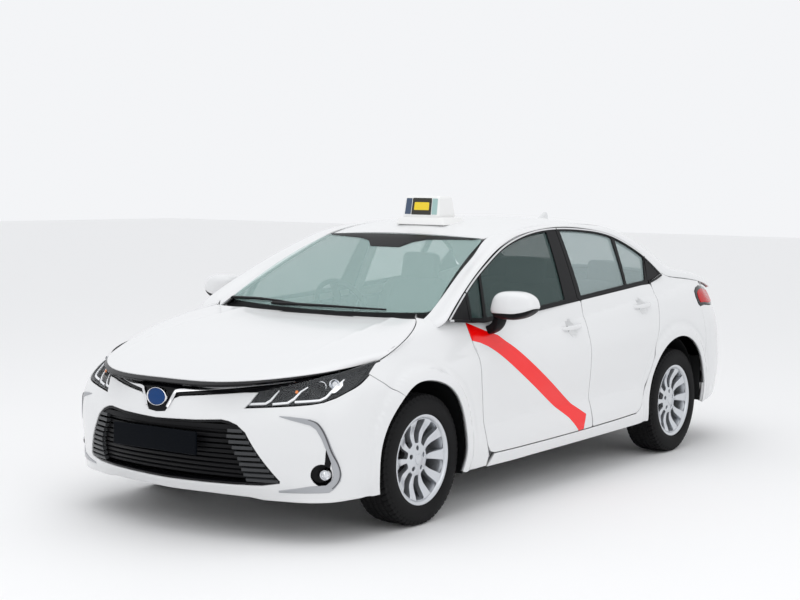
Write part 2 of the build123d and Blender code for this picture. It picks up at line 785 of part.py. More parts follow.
# ---- wheels and steering --------------------------------------------------------------
def ring_about_x(points):
    """An (x, radius) outline turned about the X axis."""
    face = Plane.XY * make_face(Polyline(*points, close=True))
    return revolve(face, Axis.X)


def tyre():
    """A tyre centred on the origin, its axle along X."""
    half = tyre_width / 2
    bead = rim_radius + seat_gap
    side = [
        (half - 18, bead), (half - 18, bead + 14), (half - 6, bead + 24),
        (half, (bead + tyre_radius) / 2), (half - 6, tyre_radius - 22),
        (half - 20, tyre_radius - 6), (half - 42, tyre_radius),
    ]
    return ring_about_x(side + [(-x, r) for x, r in reversed(side)])


def rim():
    """A ten-spoke wheel with its hub and brake disc; its outer face looks to +X."""
    half = tyre_width / 2 - 18
    barrel = ring_about_x([
        (half + 0.3, rim_radius + rim_lip), (half + 8, rim_radius + rim_lip),
        (half + 8, rim_radius - 12), (-half - 8, rim_radius - 12),
        (-half - 8, rim_radius + rim_lip), (-half - 0.3, rim_radius + rim_lip),
        (-half - 0.3, rim_radius), (half + 0.3, rim_radius),
    ])
    hub = drum(-hub_back, spoke_x + 12, 0, 0, hub_radius)
    disc = drum(-20, 0, 0, 0, disc_radius)
    wheel = barrel + hub + disc
    reach = rim_radius - 6
    spokes = []
    for number in range(spoke_count):
        turn = Rot(360 / spoke_count * number, 0, 0)
        arm = block(spoke_x - 6, spoke_x + 14, -spoke_width / 2, spoke_width / 2, 30, reach)
        spokes.append(turn * arm)
    return wheel + spokes


def knuckle():
    """The left knuckle: upright, stub axle, steering arm and strut, on the kingpin line."""
    upright = block(655, 705, front_axle_y - 45, front_axle_y + 45, 205, 400)
    upright += rod(kingpin_at(ball_joint_z + seat_gap), kingpin_at(230), 20)
    hub_x = front_track / 2 - hub_back
    upright += rod((690, front_axle_y, tyre_radius), (hub_x - 0.5, front_axle_y, tyre_radius),
                   30)
    strut_top = kingpin_at(kingpin_high[1] - 12)
    upright += rod(kingpin_at(370), strut_top, 26)
    upright += rod(kingpin_at(655), strut_top, 58)
    upright += block(650, 690, front_axle_y + 40, front_axle_y + 130, 240, 275)
    upright += block(690, hub_x + 14, front_axle_y - 135, front_axle_y - 95, 260, 380)
    upright += block(660, 700, front_axle_y - 110, front_axle_y - 40, 300, 340)
    return upright


def steering_wheel():
    """The steering wheel with its hub and three spokes."""
    plane = Plane(origin=wheel_centre, x_dir=(1, 0, 0), z_dir=column_axis)
    wheel = plane * Torus(wheel_ring, 15)
    wheel += extrude(plane.offset(-hub_drop) * Circle(60), amount=hub_drop + 5)
    for angle in (0, 180, 270):
        arm = Pos((wheel_ring - 5) / 2, 0, -12) * Box(wheel_ring - 5, 44, 16)
        wheel += plane * Rot(0, 0, angle) * arm
    return wheel


# ---- cabin ----------------------------------------------------------------------------
def dashboard():
    """Dashboard, centre console and the steering column's cowl."""
    top = side_prism([
        (-989.7, 560), (-989.7, 905), (-930, 925), (-720, 925), (-650, 880), (-630, 780),
        (-700, 640), (-760, 540),
    ], -690, 690)
    console = side_prism([
        (-760, 330.3), (-760, 640), (-640, 640), (-450, 500), (320, 500), (340, 330.3),
    ], -105, 105)
    back = Vector(*column_axis) * -(hub_drop + seat_gap)
    start = Vector(*wheel_centre) + back
    end = Vector(*wheel_centre) + Vector(*column_axis) * -360.0
    column = rod(tuple(start), tuple(end), 42)
    piece = (top & inner_room) + console + column
    return piece - [leaf_room("front"), mirrored(leaf_room("front"))]


def leaf_room(name):
    """Room for a door's thick box with a margin round it."""
    outline = door_outlines[name]
    return side_prism(outline, 0.0) - lower_hull(door_wall + 12)


def front_seats():
    """Both front seats on their rails."""
    seats = []
    for x in (-seat_x, seat_x):
        cushion = side_prism([(-350, 380), (-360, 480), (-300, 520), (120, 475), (120, 350)],
                             x - 255, x + 255)
        back = side_prism([(60, 380), (130, 480), (300, 1040), (400, 1040), (300, 640),
                           (210, 370)], x - 250, x + 250)
        rest = side_prism([(318, 1035), (322, 1180), (350, 1215), (400, 1200), (405, 1090),
                           (385, 1035)], x - 125, x + 125)
        base = block(x - 200, x + 200, -280, 180, floor_height + floor_plate + seat_gap, 390)
        seats.append(cushion + back + rest + base)
    return seats[0] + seats[1]


def rear_seat():
    """The rear bench with its three head restraints."""
    low = boot_floor_z + seat_gap
    bench = side_prism([(640, 425), (620, 500), (1130, 480), (1130, low), (925, low),
                        (925, 425)], -600, 600)
    bench += side_prism([(1060, 450), (1275, 1010), (shelf_front_y - seat_gap, 1010),
                         (shelf_front_y - seat_gap, 960), (1180, low), (1060, low)], -600, 600)
    for x in (-370, 0, 370):
        bench += side_prism([(1285, 1000), (1290, 1130), (1330, 1150), (1368, 1130),
                             (1368, 1000)], x - 120, x + 120)
    return bench


# ---- plates, sign and antenna ------------------------------------------------------------
def front_plate():
    """The blank front plate on its carrier over the slats."""
    low, high = front_plate_z
    face = block(-plate_half, plate_half, -2315, -2312, low, high)
    carrier = block(-180, 180, -2312, -2240, low + 12, high - 12)
    plate = face + (carrier - lower_hull(slat_inset - seat_gap))
    return plate - plate_screws(-2400.0, sum(front_plate_z) / 2)


def rear_plate():
    """The blank rear plate on the boot lid."""
    low, high = rear_plate_z
    face = block(-plate_half, plate_half, rear_plate_y - 3, rear_plate_y, low, high)
    carrier = block(-200, 200, 2200, rear_plate_y - 3, low + 10, high - 10)
    plate = face + (carrier - lower_hull(-seat_gap))
    return plate - plate_screws(2400.0, sum(rear_plate_z) / 2)


def plate_screws(y, z):
    """The two screw holes of a plate, from y towards the middle of the car."""
    inner = y * 0.8
    return rod((-screw_space / 2, inner, z), (-screw_space / 2, y, z), screw_radius) + rod(
        (screw_space / 2, inner, z), (screw_space / 2, y, z), screw_radius)


def roof_sign():
    """The blank roof sign: a tapered box on its base."""
    base = block(-168, 168, -195, 30, 1380, 1437) - roof_cap(-seat_gap)
    low = Plane.XY.offset(1436) * Pos(0, -98) * Rectangle(252, 176)
    high = Plane.XY.offset(1557) * Pos(0, -100) * Rectangle(232, 130)
    return base + loft([low, high])


def antenna_fin():
    """The shark-fin antenna at the rear of the roof."""
    fin = side_prism([(1075, 1380), (1236, 1360), (1236, 1425), (1222, 1446), (1200, 1443),
                      (1120, 1422)], -16, 16)
    return fin - roof_cap(-seat_gap)


# ---- assembly -------------------------------------------------------------------------
def at_wheel(shape, axle_y, track, side):
    """A wheel part moved to its axle end, turned so that its face looks outward."""
    if side < 0:
        shape = mirrored(shape)
    return Pos(side * track / 2, axle_y, tyre_radius) * shape


nodes = {
    "floor_pan": floor_pan(),
    "boot_floor": boot_floor(),
    "front_rails": front_rails(),
    "front_liners": front_liners(),
    "rear_liners": rear_liners(),
    "front_fenders": front_fenders(),
    "front_bumper": front_bumper(),
    "rear_bumper": rear_bumper(),
    "grille": grille(),
    "radiator": radiator(),
    "headlamps": headlamps(),
    "tail_lamps": tail_lamps(),
    "roof_panel": roof_panel(),
    "scuttle": scuttle(),
    "windscreen": windscreen(),
    "rear_window": rear_window(),
    "hood": hood(),
    "boot_lid": boot_lid(),
    "engine": engine(),
    "front_subframe": front_subframe(),
    "rear_axle": rear_axle(),
    "exhaust": exhaust(),
    "dashboard": dashboard(),
    "front_seats": front_seats(),
    "rear_seat": rear_seat(),
    "steering_wheel": steering_wheel(),
    "front_plate": front_plate(),
    "rear_plate": rear_plate(),
    "roof_sign": roof_sign(),
    "antenna_fin": antenna_fin(),
}
left_side = {
    "side_frame": side_frame() + sill_beam(),
    "knuckle": knuckle(),
    "door_front": door("front") + handle("front"),
    "door_rear": door("rear") + handle("rear"),
    "door_front_glass": door_glass("front"),
    "door_rear_glass": door_glass("rear"),
    "mirror": door_mirror(),
}
for name, shape in left_side.items():
    nodes[name + "_left"] = shape
    nodes[name + "_right"] = mirrored(shape)
for end, axle_y, track in (("front", front_axle_y, front_track), ("rear", rear_axle_y, rear_track)):
    for hand, side in (("left", 1), ("right", -1)):
        nodes[f"tyre_{end}_{hand}"] = at_wheel(tyre(), axle_y, track, side)
        nodes[f"rim_{end}_{hand}"] = at_wheel(rim(), axle_y, track, side)

for name, shape in nodes.items():
    export_step(shape, f"parts/{name}.step")
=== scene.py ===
import math
from itertools import chain

import bpy
import numpy as np
from mathutils import Matrix, Vector
from mathutils.geometry import delaunay_2d_cdt


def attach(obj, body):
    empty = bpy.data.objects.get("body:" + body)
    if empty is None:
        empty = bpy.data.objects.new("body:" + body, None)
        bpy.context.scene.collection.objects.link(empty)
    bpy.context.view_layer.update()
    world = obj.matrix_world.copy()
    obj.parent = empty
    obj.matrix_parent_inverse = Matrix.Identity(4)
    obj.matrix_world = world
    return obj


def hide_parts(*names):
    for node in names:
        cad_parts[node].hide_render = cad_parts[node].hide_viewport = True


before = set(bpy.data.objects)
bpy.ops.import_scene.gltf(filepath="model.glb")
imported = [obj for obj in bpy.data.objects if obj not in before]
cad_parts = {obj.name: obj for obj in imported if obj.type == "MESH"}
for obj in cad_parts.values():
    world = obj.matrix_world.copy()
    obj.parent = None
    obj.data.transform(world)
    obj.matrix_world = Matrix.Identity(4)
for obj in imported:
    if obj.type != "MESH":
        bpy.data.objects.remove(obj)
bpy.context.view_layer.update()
print("stage: frame loaded,", len(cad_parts), "nodes")

# Metres. +Z up, the nose points to -Y, the car's left side is +X.

# weights of a natural cubic spline through knots: value(t) = sum over k of weight[k](t) * value[k]
def splineWeights(knots, at):
    knots = np.asarray(knots, float)
    at = np.asarray(at, float)
    count = len(knots)
    gap = np.diff(knots)
    left = np.eye(count)
    right = np.zeros((count, count))
    inner = np.arange(1, count - 1)
    left[inner, inner - 1] = gap[:-1]
    left[inner, inner] = 2 * (gap[:-1] + gap[1:])
    left[inner, inner + 1] = gap[1:]
    right[inner, inner - 1] = 6 / gap[:-1]
    right[inner, inner] = -6 / gap[:-1] - 6 / gap[1:]
    right[inner, inner + 1] = 6 / gap[1:]
    bend = np.linalg.solve(left, right)
    span = np.clip(np.searchsorted(knots, at) - 1, 0, count - 2)
    width = gap[span]
    b = (at - knots[span]) / width
    a = 1 - b
    rows = np.arange(len(at))
    weights = np.zeros((len(at), count))
    weights[rows, span] += a
    weights[rows, span + 1] += b
    weights += ((a ** 3 - a) * width ** 2 / 6)[:, None] * bend[span]
    weights += ((b ** 3 - b) * width ** 2 / 6)[:, None] * bend[span + 1]
    return weights

# points at even steps along a spline through the given points
def smoothLine(points, count):
    points = np.asarray(points, float)
    reach = np.r_[0, np.cumsum(np.linalg.norm(np.diff(points, axis=0), axis=1))]
    return splineWeights(reach, np.linspace(0, reach[-1], count)) @ points

# smooth step: 0 below low, 1 above high, 3t^2 - 2t^3 between
def ease(low, high, value):
    t = np.clip((value - low) / (high - low), 0, 1)
    return t * t * (3 - 2 * t)

# vectors divided by their lengths
def unit(vectors):
    return vectors / np.maximum(np.linalg.norm(vectors, axis=-1, keepdims=True), 1e-12)

# the lower body is one closed belt round the car
belt = {
    "knots": (-2.876, -2.255, -2.015, -1.72, -1.0, 0.0, 1.0, 1.75, 2.095, 2.328, 3.029),
    # millimetres: height at y 0, rise per mille, nose y, x and y of the front corner's start and
    # middle, half widths at y -1720, -1000, 0, 1000, 1750, x and y of the rear corner's middle
    # and end, tail y
    "levels": (
        (195, 0, -2185, 600, -2082, 782, -1985, 852, 866, 866, 866, 845, 780, 2060, 650, 2180, 2210),
        (300, 0, -2258, 600, -2130, 790, -1985, 874, 884, 889, 886, 868, 798, 2050, 665, 2235, 2285),
        (380, 0, -2295, 600, -2146, 790, -1990, 880, 883, 881, 881, 876, 808, 2060, 671, 2255, 2305),
        (450, 10, -2309, 600, -2150, 788, -2000, 882, 880, 872, 875, 880, 816, 2067, 675, 2265, 2315),
        (560, 20, -2306, 600, -2145, 780, -2005, 884, 882, 878, 880, 884, 816, 2063, 677, 2260, 2312),
        (650, 30, -2296, 600, -2125, 766, -2008, 880, 884, 880, 882, 882, 810, 2053, 673, 2247, 2298),
        (740, 45, -2284, 592, -2085, 760, -1975, 868, 880, 870, 876, 868, 793, 2025, 655, 2223, 2275),
        (810, 55, -2270, 578, -2050, 750, -1925, 846, 866, 850, 856, 838, 759, 1990, 645, 2208, 2250),
        (880, 60, -2200, 540, -2005, 700, -1895, 795, 838, 826, 830, 795, 714, 1972, 600, 2170, 2225),
        (963, 60, -2120, 480, -1960, 635, -1860, 735, 795, 804, 788, 740, 672, 1985, 540, 2135, 2190),
        (1060, 60, -2040, 425, -1880, 562, -1790, 655, 735, 766, 740, 682, 615, 1945, 495, 2080, 2135),
        (1150, 60, -1950, 360, -1800, 480, -1710, 570, 660, 722, 690, 620, 560, 1900, 450, 2020, 2080),
    ),
    "xColumns": (None, 3, 5, 7, 8, 9, 10, 11, 12, 14, None),
    "yColumns": (2, 4, 6, None, None, None, None, None, 13, 15, 16),
    "archY": (-1.4, 1.31),
    "archZ": (0.346, 0.339),
    "archRadius": (0.354, 0.375),
    "rearCorner": (14, 15, 16),  # columns of the rear corner's x and y and of the tail's y
    "tailPower": 9,
    "tailFrom": 1.9,
    "flank": (-2.0, -1.75, 1.75, 2.05),  # y where creases and arch lips fade in and out again
    "flare": 0.004,
    "flareReach": (-0.02, 0.2),
    "lip": 0.005,
    "lipWidth": 0.055,
    "lipSoft": 0.008,
    "groove": (0.005, 0.025, 0.022),  # depth, distance from the lip's edge, width
    # z at y 0, rise with y, size and reach of the step, y where it fades in and out again
    "creases": ((0.877, 0.085, 0.011, 0.026, -1.35, -0.8, 9.0, 9.1),
        (0.437, 0.02, 0.011, 0.04, -0.95, -0.55, 0.75, 0.98)),
}
beltTable = np.array(belt["levels"], float) / 1000
beltHeights = beltTable[:, 0]
beltKnots = np.array(belt["knots"])
beltX = np.stack([beltTable[:, c] if c else 0 * beltHeights for c in belt["xColumns"]], 1)
beltY = np.stack([beltTable[:, c] if c else 0 * beltHeights + k
                  for c, k in zip(belt["yColumns"], beltKnots)], 1)
ringKnots = np.r_[2 * beltKnots[0] - beltKnots[3:0:-1], beltKnots, 2 * beltKnots[-1] - beltKnots[-2:-5:-1]]
ringX = np.c_[-beltX[:, 3:0:-1], beltX, -beltX[:, -2:-5:-1]]
ringY = np.c_[beltY[:, 3:0:-1], beltY, beltY[:, -2:-5:-1]]

# B(u, z): both coordinates are splines over the station u round the car and over the level t,
# where t + rise(t) * y = z; u is y along the flanks; a negative turn is the right side. Behind
# tailFrom the tail is y = tail - (tail - cornerY) (x / cornerX) ^ power
def beltBase(u, z):
    across = splineWeights(ringKnots, u)
    t = z.copy()
    y = np.clip(u, -2.3, 2.3)
    for _ in range(4):
        up = splineWeights(beltHeights, np.clip(t, beltHeights[0] - 0.05, beltHeights[-1] + 0.05))
        y = ((up @ ringY) * across).sum(1)
        t = z - (up @ beltTable[:, 1]) * y
    x = ((up @ ringX) * across).sum(1)
    cornerX, cornerY, tail = (up @ beltTable[:, column] for column in belt["rearCorner"])
    square = tail - (tail - cornerY) * np.clip(np.abs(x) / cornerX, 0, 1) ** belt["tailPower"]
    y = np.where((u > belt["tailFrom"]) & (np.abs(x) < cornerX), square, y)
    return np.stack([x, y, z], 1)

# detail added along the normal: a step A (1 - exp(q / L)) where q is how far a point lies below a
# crease line, and a raised lip with a wide flare and a thin groove round each wheel arch
def beltDetail(p):
    y, z = p[:, 1], p[:, 2]
    flank = belt["flank"]
    onFlank = ease(flank[0], flank[1], y) * (1 - ease(flank[2], flank[3], y))
    grow = 0 * y
    for height, rise, size, reach, *fade in belt["creases"]:
        below = np.minimum(z - height - rise * y, 0)
        grow += size * (1 - np.exp(below / reach)) * ease(*fade[:2], y) * (1 - ease(*fade[2:], y))
    lipEdge, soft = belt["lipWidth"], belt["lipSoft"]
    depth, beyondLip, width = belt["groove"]
    for archY, archZ, radius in zip(belt["archY"], belt["archZ"], belt["archRadius"]):
        away = np.hypot(y - archY, z - archZ) - radius
        grow += belt["flare"] * (1 - ease(*belt["flareReach"], away))
        grow += belt["lip"] * (1 - ease(lipEdge - soft, lipEdge + soft, away))
        grow -= depth * np.exp(-((away - lipEdge - beyondLip) / width) ** 2)
    return grow * onFlank

# the normal of a surface: the cross product of its small steps along both parameters
def normalsOf(surface, a, b, step=0.003):
    alongA = surface(a + step, b) - surface(a - step, b)
    alongB = surface(a, b + step) - surface(a, b - step)
    return unit(np.cross(alongA, alongB))

# P(u, z) = B(u, z) + normal * detail
def beltSurface(u, z):
    base = beltBase(u, z)
    out = normalsOf(beltBase, u, z)
    return base + out * beltDetail(base)[:, None]

# the (u, z) of points given by two of their coordinates, by a few Newton steps
def beltStations(points, axes="yz", start=None):
    points = np.asarray(points, float)
    pick = ["xyz".index(axis) for axis in axes]
    guess = points.copy() if start is None else np.array(start, float)
    for _ in range(12):
        here = beltBase(guess[:, 0], guess[:, 1])[:, pick]
        stepU = (beltBase(guess[:, 0] + 1e-4, guess[:, 1])[:, pick] - here) / 1e-4
        stepZ = (beltBase(guess[:, 0], guess[:, 1] + 1e-4)[:, pick] - here) / 1e-4
        slope = np.stack([stepU, stepZ], 2)
        guess += np.clip(np.linalg.solve(slope, (points - here)[:, :, None])[:, :, 0], -0.15, 0.15)
    return guess

# cubic Hermite between two points with their tangents
def hermite(start, end, leave, arrive, t):
    t = np.asarray(t)[:, None]
    return ((2 * t ** 3 - 3 * t ** 2 + 1) * start + (t ** 3 - 2 * t ** 2 + t) * leave
            + (3 * t ** 2 - 2 * t ** 3) * end + (t ** 3 - t ** 2) * arrive)

hood = {
    # share of the half width, front edge x y z, rear edge x y z, slopes at both ends (y, z each)
    "rows": (
        (0.0, 0.0, -2.276, 0.715, 0.0, -1.096, 0.949, 1.0, 0.43, 1.2, 0.12),
        (0.35, 0.3, -2.25, 0.719, 0.235, -1.1, 0.95, 1.0, 0.43, 1.15, 0.12),
        (0.62, 0.52, -2.115, 0.739, 0.415, -1.11, 0.953, 0.9, 0.4, 1.0, 0.12),
        (0.84, 0.69, -1.875, 0.772, 0.57, -1.132, 0.957, 0.7, 0.3, 0.75, 0.12),
        (1.0, 0.772, -1.632, 0.802, 0.655, -1.162, 0.963, 0.22, 0.17, 0.34, 0.1),
    ),
    "edgeBulge": 0.18,
    "edgeBack": 0.023, "edgeShare": 0.88,
    "crease": (0.6, 0.72, 0.004, 0.05),  # its share at the front and the rear, height, width
    "size": (0.75, 1.05), "corner": 0.006, "cornerGap": 0.6,
    "thick": 0.02,
    # the black band under the front edge: half its share, its reach, width, end, foot and drop
    "band": (0.86, 0.9, 0.012, 0.004, 0.002, 0.005),
}
hoodTable = np.array(hood["rows"])

# H(s, v): a Hermite curve from the front edge to the rear edge at each share s of the width, and a
# crease height * exp(-|s - line| / width)
def hoodSurface(s, v):
    share = np.abs(s)
    mirror = np.where(s < 0, -1.0, 1.0)
    keys = np.r_[-hoodTable[:0:-1, 0], hoodTable[:, 0]]
    odd = np.r_[-hoodTable[:0:-1], hoodTable]
    even = np.r_[hoodTable[:0:-1], hoodTable]
    weights = splineWeights(keys, share)
    frontX, rearX = weights @ odd[:, 1], weights @ odd[:, 4]
    rest = weights @ even
    start = np.stack([frontX, rest[:, 2], rest[:, 3]], 1)
    end = np.stack([rearX, rest[:, 5], rest[:, 6]], 1)
    bulge = hood["edgeBulge"] * share ** 3
    leave = np.stack([bulge, rest[:, 7], rest[:, 8]], 1)
    arrive = np.stack([(rearX - frontX) - bulge, rest[:, 9], rest[:, 10]], 1)
    p = hermite(start, end, leave, arrive, v)
    front, rear, height, width = hood["crease"]
    line = front + (rear - front) * v
    p[:, 2] += height * np.exp(-np.abs(share - line) / width) * ease(0.02, 0.4, v)
    p[:, 0] *= mirror
    return p

# side windows lie on one slightly barrelled plane: x = 0.805 - 0.444 (z - 0.95) + barrel
def sideX(z):
    return 0.805 - 0.444 * (z - 0.95) + 0.008 * (1 - ((z - 1.16) / 0.22) ** 2)

strip = {
    # inner edge x y z, outer edge y z, heading of the surface where it leaves the inner edge
    "rows": (
        (0.655, -1.165, 0.936, -1.165, 0.902, 0.9, 0.0, -0.25),
        (0.661, -1.06, 0.986, -1.085, 0.972, 0.92, 0.1, -0.22),
        (0.632, -0.87, 1.083, -0.88, 1.088, 0.95, 0.18, -0.18),
        (0.595, -0.67, 1.184, -0.7, 1.175, 0.96, 0.2, -0.16),
        (0.563, -0.49, 1.266, -0.5, 1.258, 0.96, 0.2, -0.15),
        (0.527, -0.31, 1.342, -0.3, 1.322, 0.97, 0.15, -0.16),
        (0.541, -0.06, 1.378, -0.08, 1.362, 0.97, 0.05, -0.18),
        (0.551, 0.26, 1.401, 0.25, 1.388, 0.97, 0.0, -0.18),
        (0.549, 0.58, 1.4, 0.58, 1.377, 0.97, 0.0, -0.18),
        (0.532, 0.9, 1.384, 0.87, 1.336, 0.97, 0.0, -0.2),
        (0.515, 1.15, 1.35, 1.05, 1.275, 0.96, -0.03, -0.22),
        (0.518, 1.38, 1.274, 1.19, 1.201, 0.96, -0.06, -0.22),
        (0.548, 1.6, 1.171, 1.345, 1.092, 0.96, -0.08, -0.22),
        (0.56, 1.76, 1.101, 1.54, 1.055, 0.96, -0.05, -0.24),
        (0.556, 1.92, 1.078, 1.76, 1.033, 0.96, 0.0, -0.26),
        (0.58, 2.06, 1.052, 1.96, 1.002, 0.95, 0.05, -0.3),
        (0.612, 2.17, 1.022, 2.085, 0.972, 0.9, 0.2, -0.4),
    ),
    "outerPull": 1.0,
    "footSink": 0.03,
    "down": (0.42, 0.0, -0.9),
}
stripTable = np.array(strip["rows"])
stripCount = len(stripTable)
windowRows = 13

# the strip's outer edge: on the window plane beside the windows and on the belt before and behind
def stripOuter(row):
    weights = splineWeights(np.arange(stripCount), row)
    y, z = weights @ stripTable[:, 3], weights @ stripTable[:, 4]
    glassX = sideX(z) + 0.004
    bodyX = beltBase(np.clip(y, -1.7, 2.3), z)[:, 0]
    share = ease(windowRows - 1.6, windowRows - 0.4, row)
    front = 1 - ease(0.0, 1.0, row)
    share = np.maximum(share, front)
    return np.stack([glassX * (1 - share) + bodyX * share - strip["footSink"] * front ** 1.5, y, z], 1)

# R(row, w): from the edge of windscreen, roof, rear window and boot lid (w 0) out to the window
# line or the flank (w 1); a Hermite curve that leaves flat and arrives in the side's own slope
def stripSurface(row, w):
    weights = splineWeights(np.arange(stripCount), row)
    inner = weights @ stripTable[:, :3]
    outer = stripOuter(row)
    width = np.linalg.norm(outer - inner, axis=1, keepdims=True)
    leave = unit(weights @ stripTable[:, 5:8]) * width
    arrive = np.array(strip["down"]) * width * strip["outerPull"]
    return hermite(inner, outer, leave, arrive, w)

roof = {
    "profile": ((-0.381, 1.353), (-0.2, 1.388), (0.0, 1.416), (0.3, 1.437), (0.55, 1.437),
        (0.8, 1.428), (1.05, 1.403), (1.243, 1.372)),
    "crown": 0.1185,
    "edgeX": ((-0.381, 0.515), (-0.31, 0.527), (0.0, 0.544), (0.3, 0.551), (0.6, 0.548),
        (0.9, 0.532), (1.15, 0.515), (1.243, 0.508)),
    "frontBow": 0.205,
    "rearBow": -0.12,
    "size": (0.55, 1.6), "inset": (0.005, 0.004), "corner": 0.02,
}

# Z(x, y) of the roof: the middle profile less crown times x squared; s is the share of the width
def roofSurface(s, v):
    profile = np.array(roof["profile"])
    edge = np.array(roof["edgeX"])
    front, rear = profile[0, 0], profile[-1, 0]
    y0 = front + (rear - front) * v
    half = splineWeights(edge[:, 0], np.clip(y0, front, rear)) @ edge[:, 1]
    x = s * half
    y = y0 + (1 - v) * roof["frontBow"] * x ** 2 + v * roof["rearBow"] * x ** 2
    z = splineWeights(profile[:, 0], y) @ profile[:, 1] - roof["crown"] * x ** 2
    return np.stack([x, y, z], 1)

glazing = {"edge": 0.004, "corner": 0.05, "thick": 0.005}
screen = {
    # low edge: y and z at the middle, their x^2 terms, half width; the same for the high edge
    "low": (-1.11, 0.164, 0.968, 0.04, 0.672),
    "high": (-0.385, 0.205, 1.35, -0.05, 0.523),
    "bulge": 0.028, "size": (0.68, 0.56), "out": (0, -1, 1),
}
backlight = {
    "low": (1.815, -0.26, 1.093, -0.075, 0.565),
    "high": (1.246, -0.12, 1.37, -0.1185, 0.508),
    "bulge": 0.022, "size": (0.57, 0.65), "out": (0, 1, 1),
}

# a pane ruled between two bowed edges and puffed out by bulge * 4v(1 - v)
def paneSurface(pane, s, v):
    edges = []
    for key in ("low", "high"):
        y, yBow, z, zBow, half = pane[key]
        x = s * half
        edges.append(np.stack([x, y + yBow * x ** 2, z + zBow * x ** 2], 1))
    v = v[:, None]
    across = unit(edges[1] - edges[0])
    out = unit(np.cross(np.broadcast_to([1.0, 0, 0], across.shape), across))
    out *= np.where(out[:, 2:] < 0, -1, 1)
    return edges[0] * (1 - v) + edges[1] * v + out * pane["bulge"] * 4 * v * (1 - v)

boot = {
    # middle profile y z, from the glass over the lip and down to the bumper; then the same at
    # the side edge, with its x
    "middle": ((1.802, 1.101), (1.93, 1.09), (2.05, 1.073), (2.14, 1.057), (2.196, 1.046),
        (2.212, 1.03), (2.21, 1.0), (2.216, 0.95), (2.238, 0.88), (2.258, 0.8),
        (2.276, 0.692)),
    "side": ((0.552, 1.768, 1.083), (0.55, 1.87, 1.075), (0.556, 1.96, 1.062),
        (0.575, 2.04, 1.045), (0.59, 2.112, 1.03), (0.598, 2.132, 1.016),
        (0.6, 2.14, 0.985), (0.602, 2.152, 0.94), (0.604, 2.172, 0.875),
        (0.604, 2.192, 0.8), (0.6, 2.215, 0.692)),
    "size": (0.62, 0.95), "corner": 0.03,
    "sideLaw": (2, 4, 0.4, 0.7),  # power of the share on top, what the face adds, v of the change
}

# L(s, v): the profile eases from the middle one to the side one with a power of the share s
def bootSurface(s, v):
    middle = np.array(boot["middle"])
    side = np.array(boot["side"])
    knots = np.linspace(0, 1, len(middle))
    weights = splineWeights(knots, v)
    centre = weights @ middle
    edge = weights @ side
    power, more, start, full = boot["sideLaw"]
    mix = (np.abs(s) ** (power + more * ease(start, full, v)))[:, None]
    yz = centre * (1 - mix) + edge[:, 1:] * mix
    return np.stack([s * edge[:, 0], yz[:, 0], yz[:, 1]], 1)

# a loop with points added so that no side is longer than step
def loopDense(loop, step, closed=True):
    loop = np.asarray(loop, float)
    if closed:
        loop = np.vstack([loop, loop[:1]])
    runs = np.linalg.norm(np.diff(loop, axis=0), axis=1)
    counts = np.maximum(1, np.ceil(runs / step).astype(int))
    parts = [loop[i] + (loop[i + 1] - loop[i]) * np.arange(n)[:, None] / n for i, n in enumerate(counts)]
    return np.vstack(parts if closed else parts + [loop[-1:]])

# corners of a loop turned into arcs of the given radius, by a quadratic blend over each corner
def rounded(loop, radius, count=5):
    loop = np.asarray(loop, float)
    before, after = np.roll(loop, 1, 0), np.roll(loop, -1, 0)
    reach = np.minimum(radius, 0.45 * np.minimum(np.linalg.norm(before - loop, axis=1),
                                                 np.linalg.norm(after - loop, axis=1)))[:, None]
    start = loop + unit(before - loop) * reach
    end = loop + unit(after - loop) * reach
    t = np.linspace(0, 1, count)[None, :, None]
    arc = start[:, None] * (1 - t) ** 2 + 2 * loop[:, None] * t * (1 - t) + end[:, None] * t ** 2
    return arc.reshape(-1, 2)

# which points lie inside a loop: those with an odd number of its sides to their right
def insideLoop(points, loop):
    a, b = loop, np.roll(loop, -1, 0)
    y = points[:, 1:2]
    cross = (a[:, 1] > y) != (b[:, 1] > y)
    with np.errstate(divide="ignore", invalid="ignore"):
        at = (b[:, 0] - a[:, 0]) * (y - a[:, 1]) / (b[:, 1] - a[:, 1]) + a[:, 0]
    return (cross & (points[:, 0:1] < at)).sum(1) % 2 == 1

# distance from each point to the nearest side of a loop
def awayFromLoop(points, loop):
    a, b = loop, np.roll(loop, -1, 0)
    along = b - a
    length = np.maximum((along ** 2).sum(1), 1e-12)
    t = np.clip(((points[:, None] - a) * along).sum(2) / length, 0, 1)
    return np.linalg.norm(points[:, None] - a - t[..., None] * along, axis=2).min(1)

# a loop moved outward by an amount along the mean normal of its two neighbouring sides
def loopOffset(loop, amount):
    ahead = unit(np.roll(loop, -1, 0) - loop)
    behind = unit(loop - np.roll(loop, 1, 0))
    out = np.stack([ahead[:, 1] + behind[:, 1], -ahead[:, 0] - behind[:, 0]], 1)
    out = unit(out)
    shrink = np.clip((out * np.stack([ahead[:, 1], -ahead[:, 0]], 1)).sum(1), 0.5, 1)
    return loop + out * (amount / shrink)[:, None]

# true for a loop that runs anticlockwise, by its signed area
def turnsLeft(loop):
    a, b = loop, np.roll(loop, -1, 0)
    return (a[:, 0] * b[:, 1] - b[:, 0] * a[:, 1]).sum() > 0

# a shape is its points, its faces and, where they are worked out, its normals
def shapeOf(points, faces, normals=None):
    return {"points": points, "faces": faces, "normals": normals}

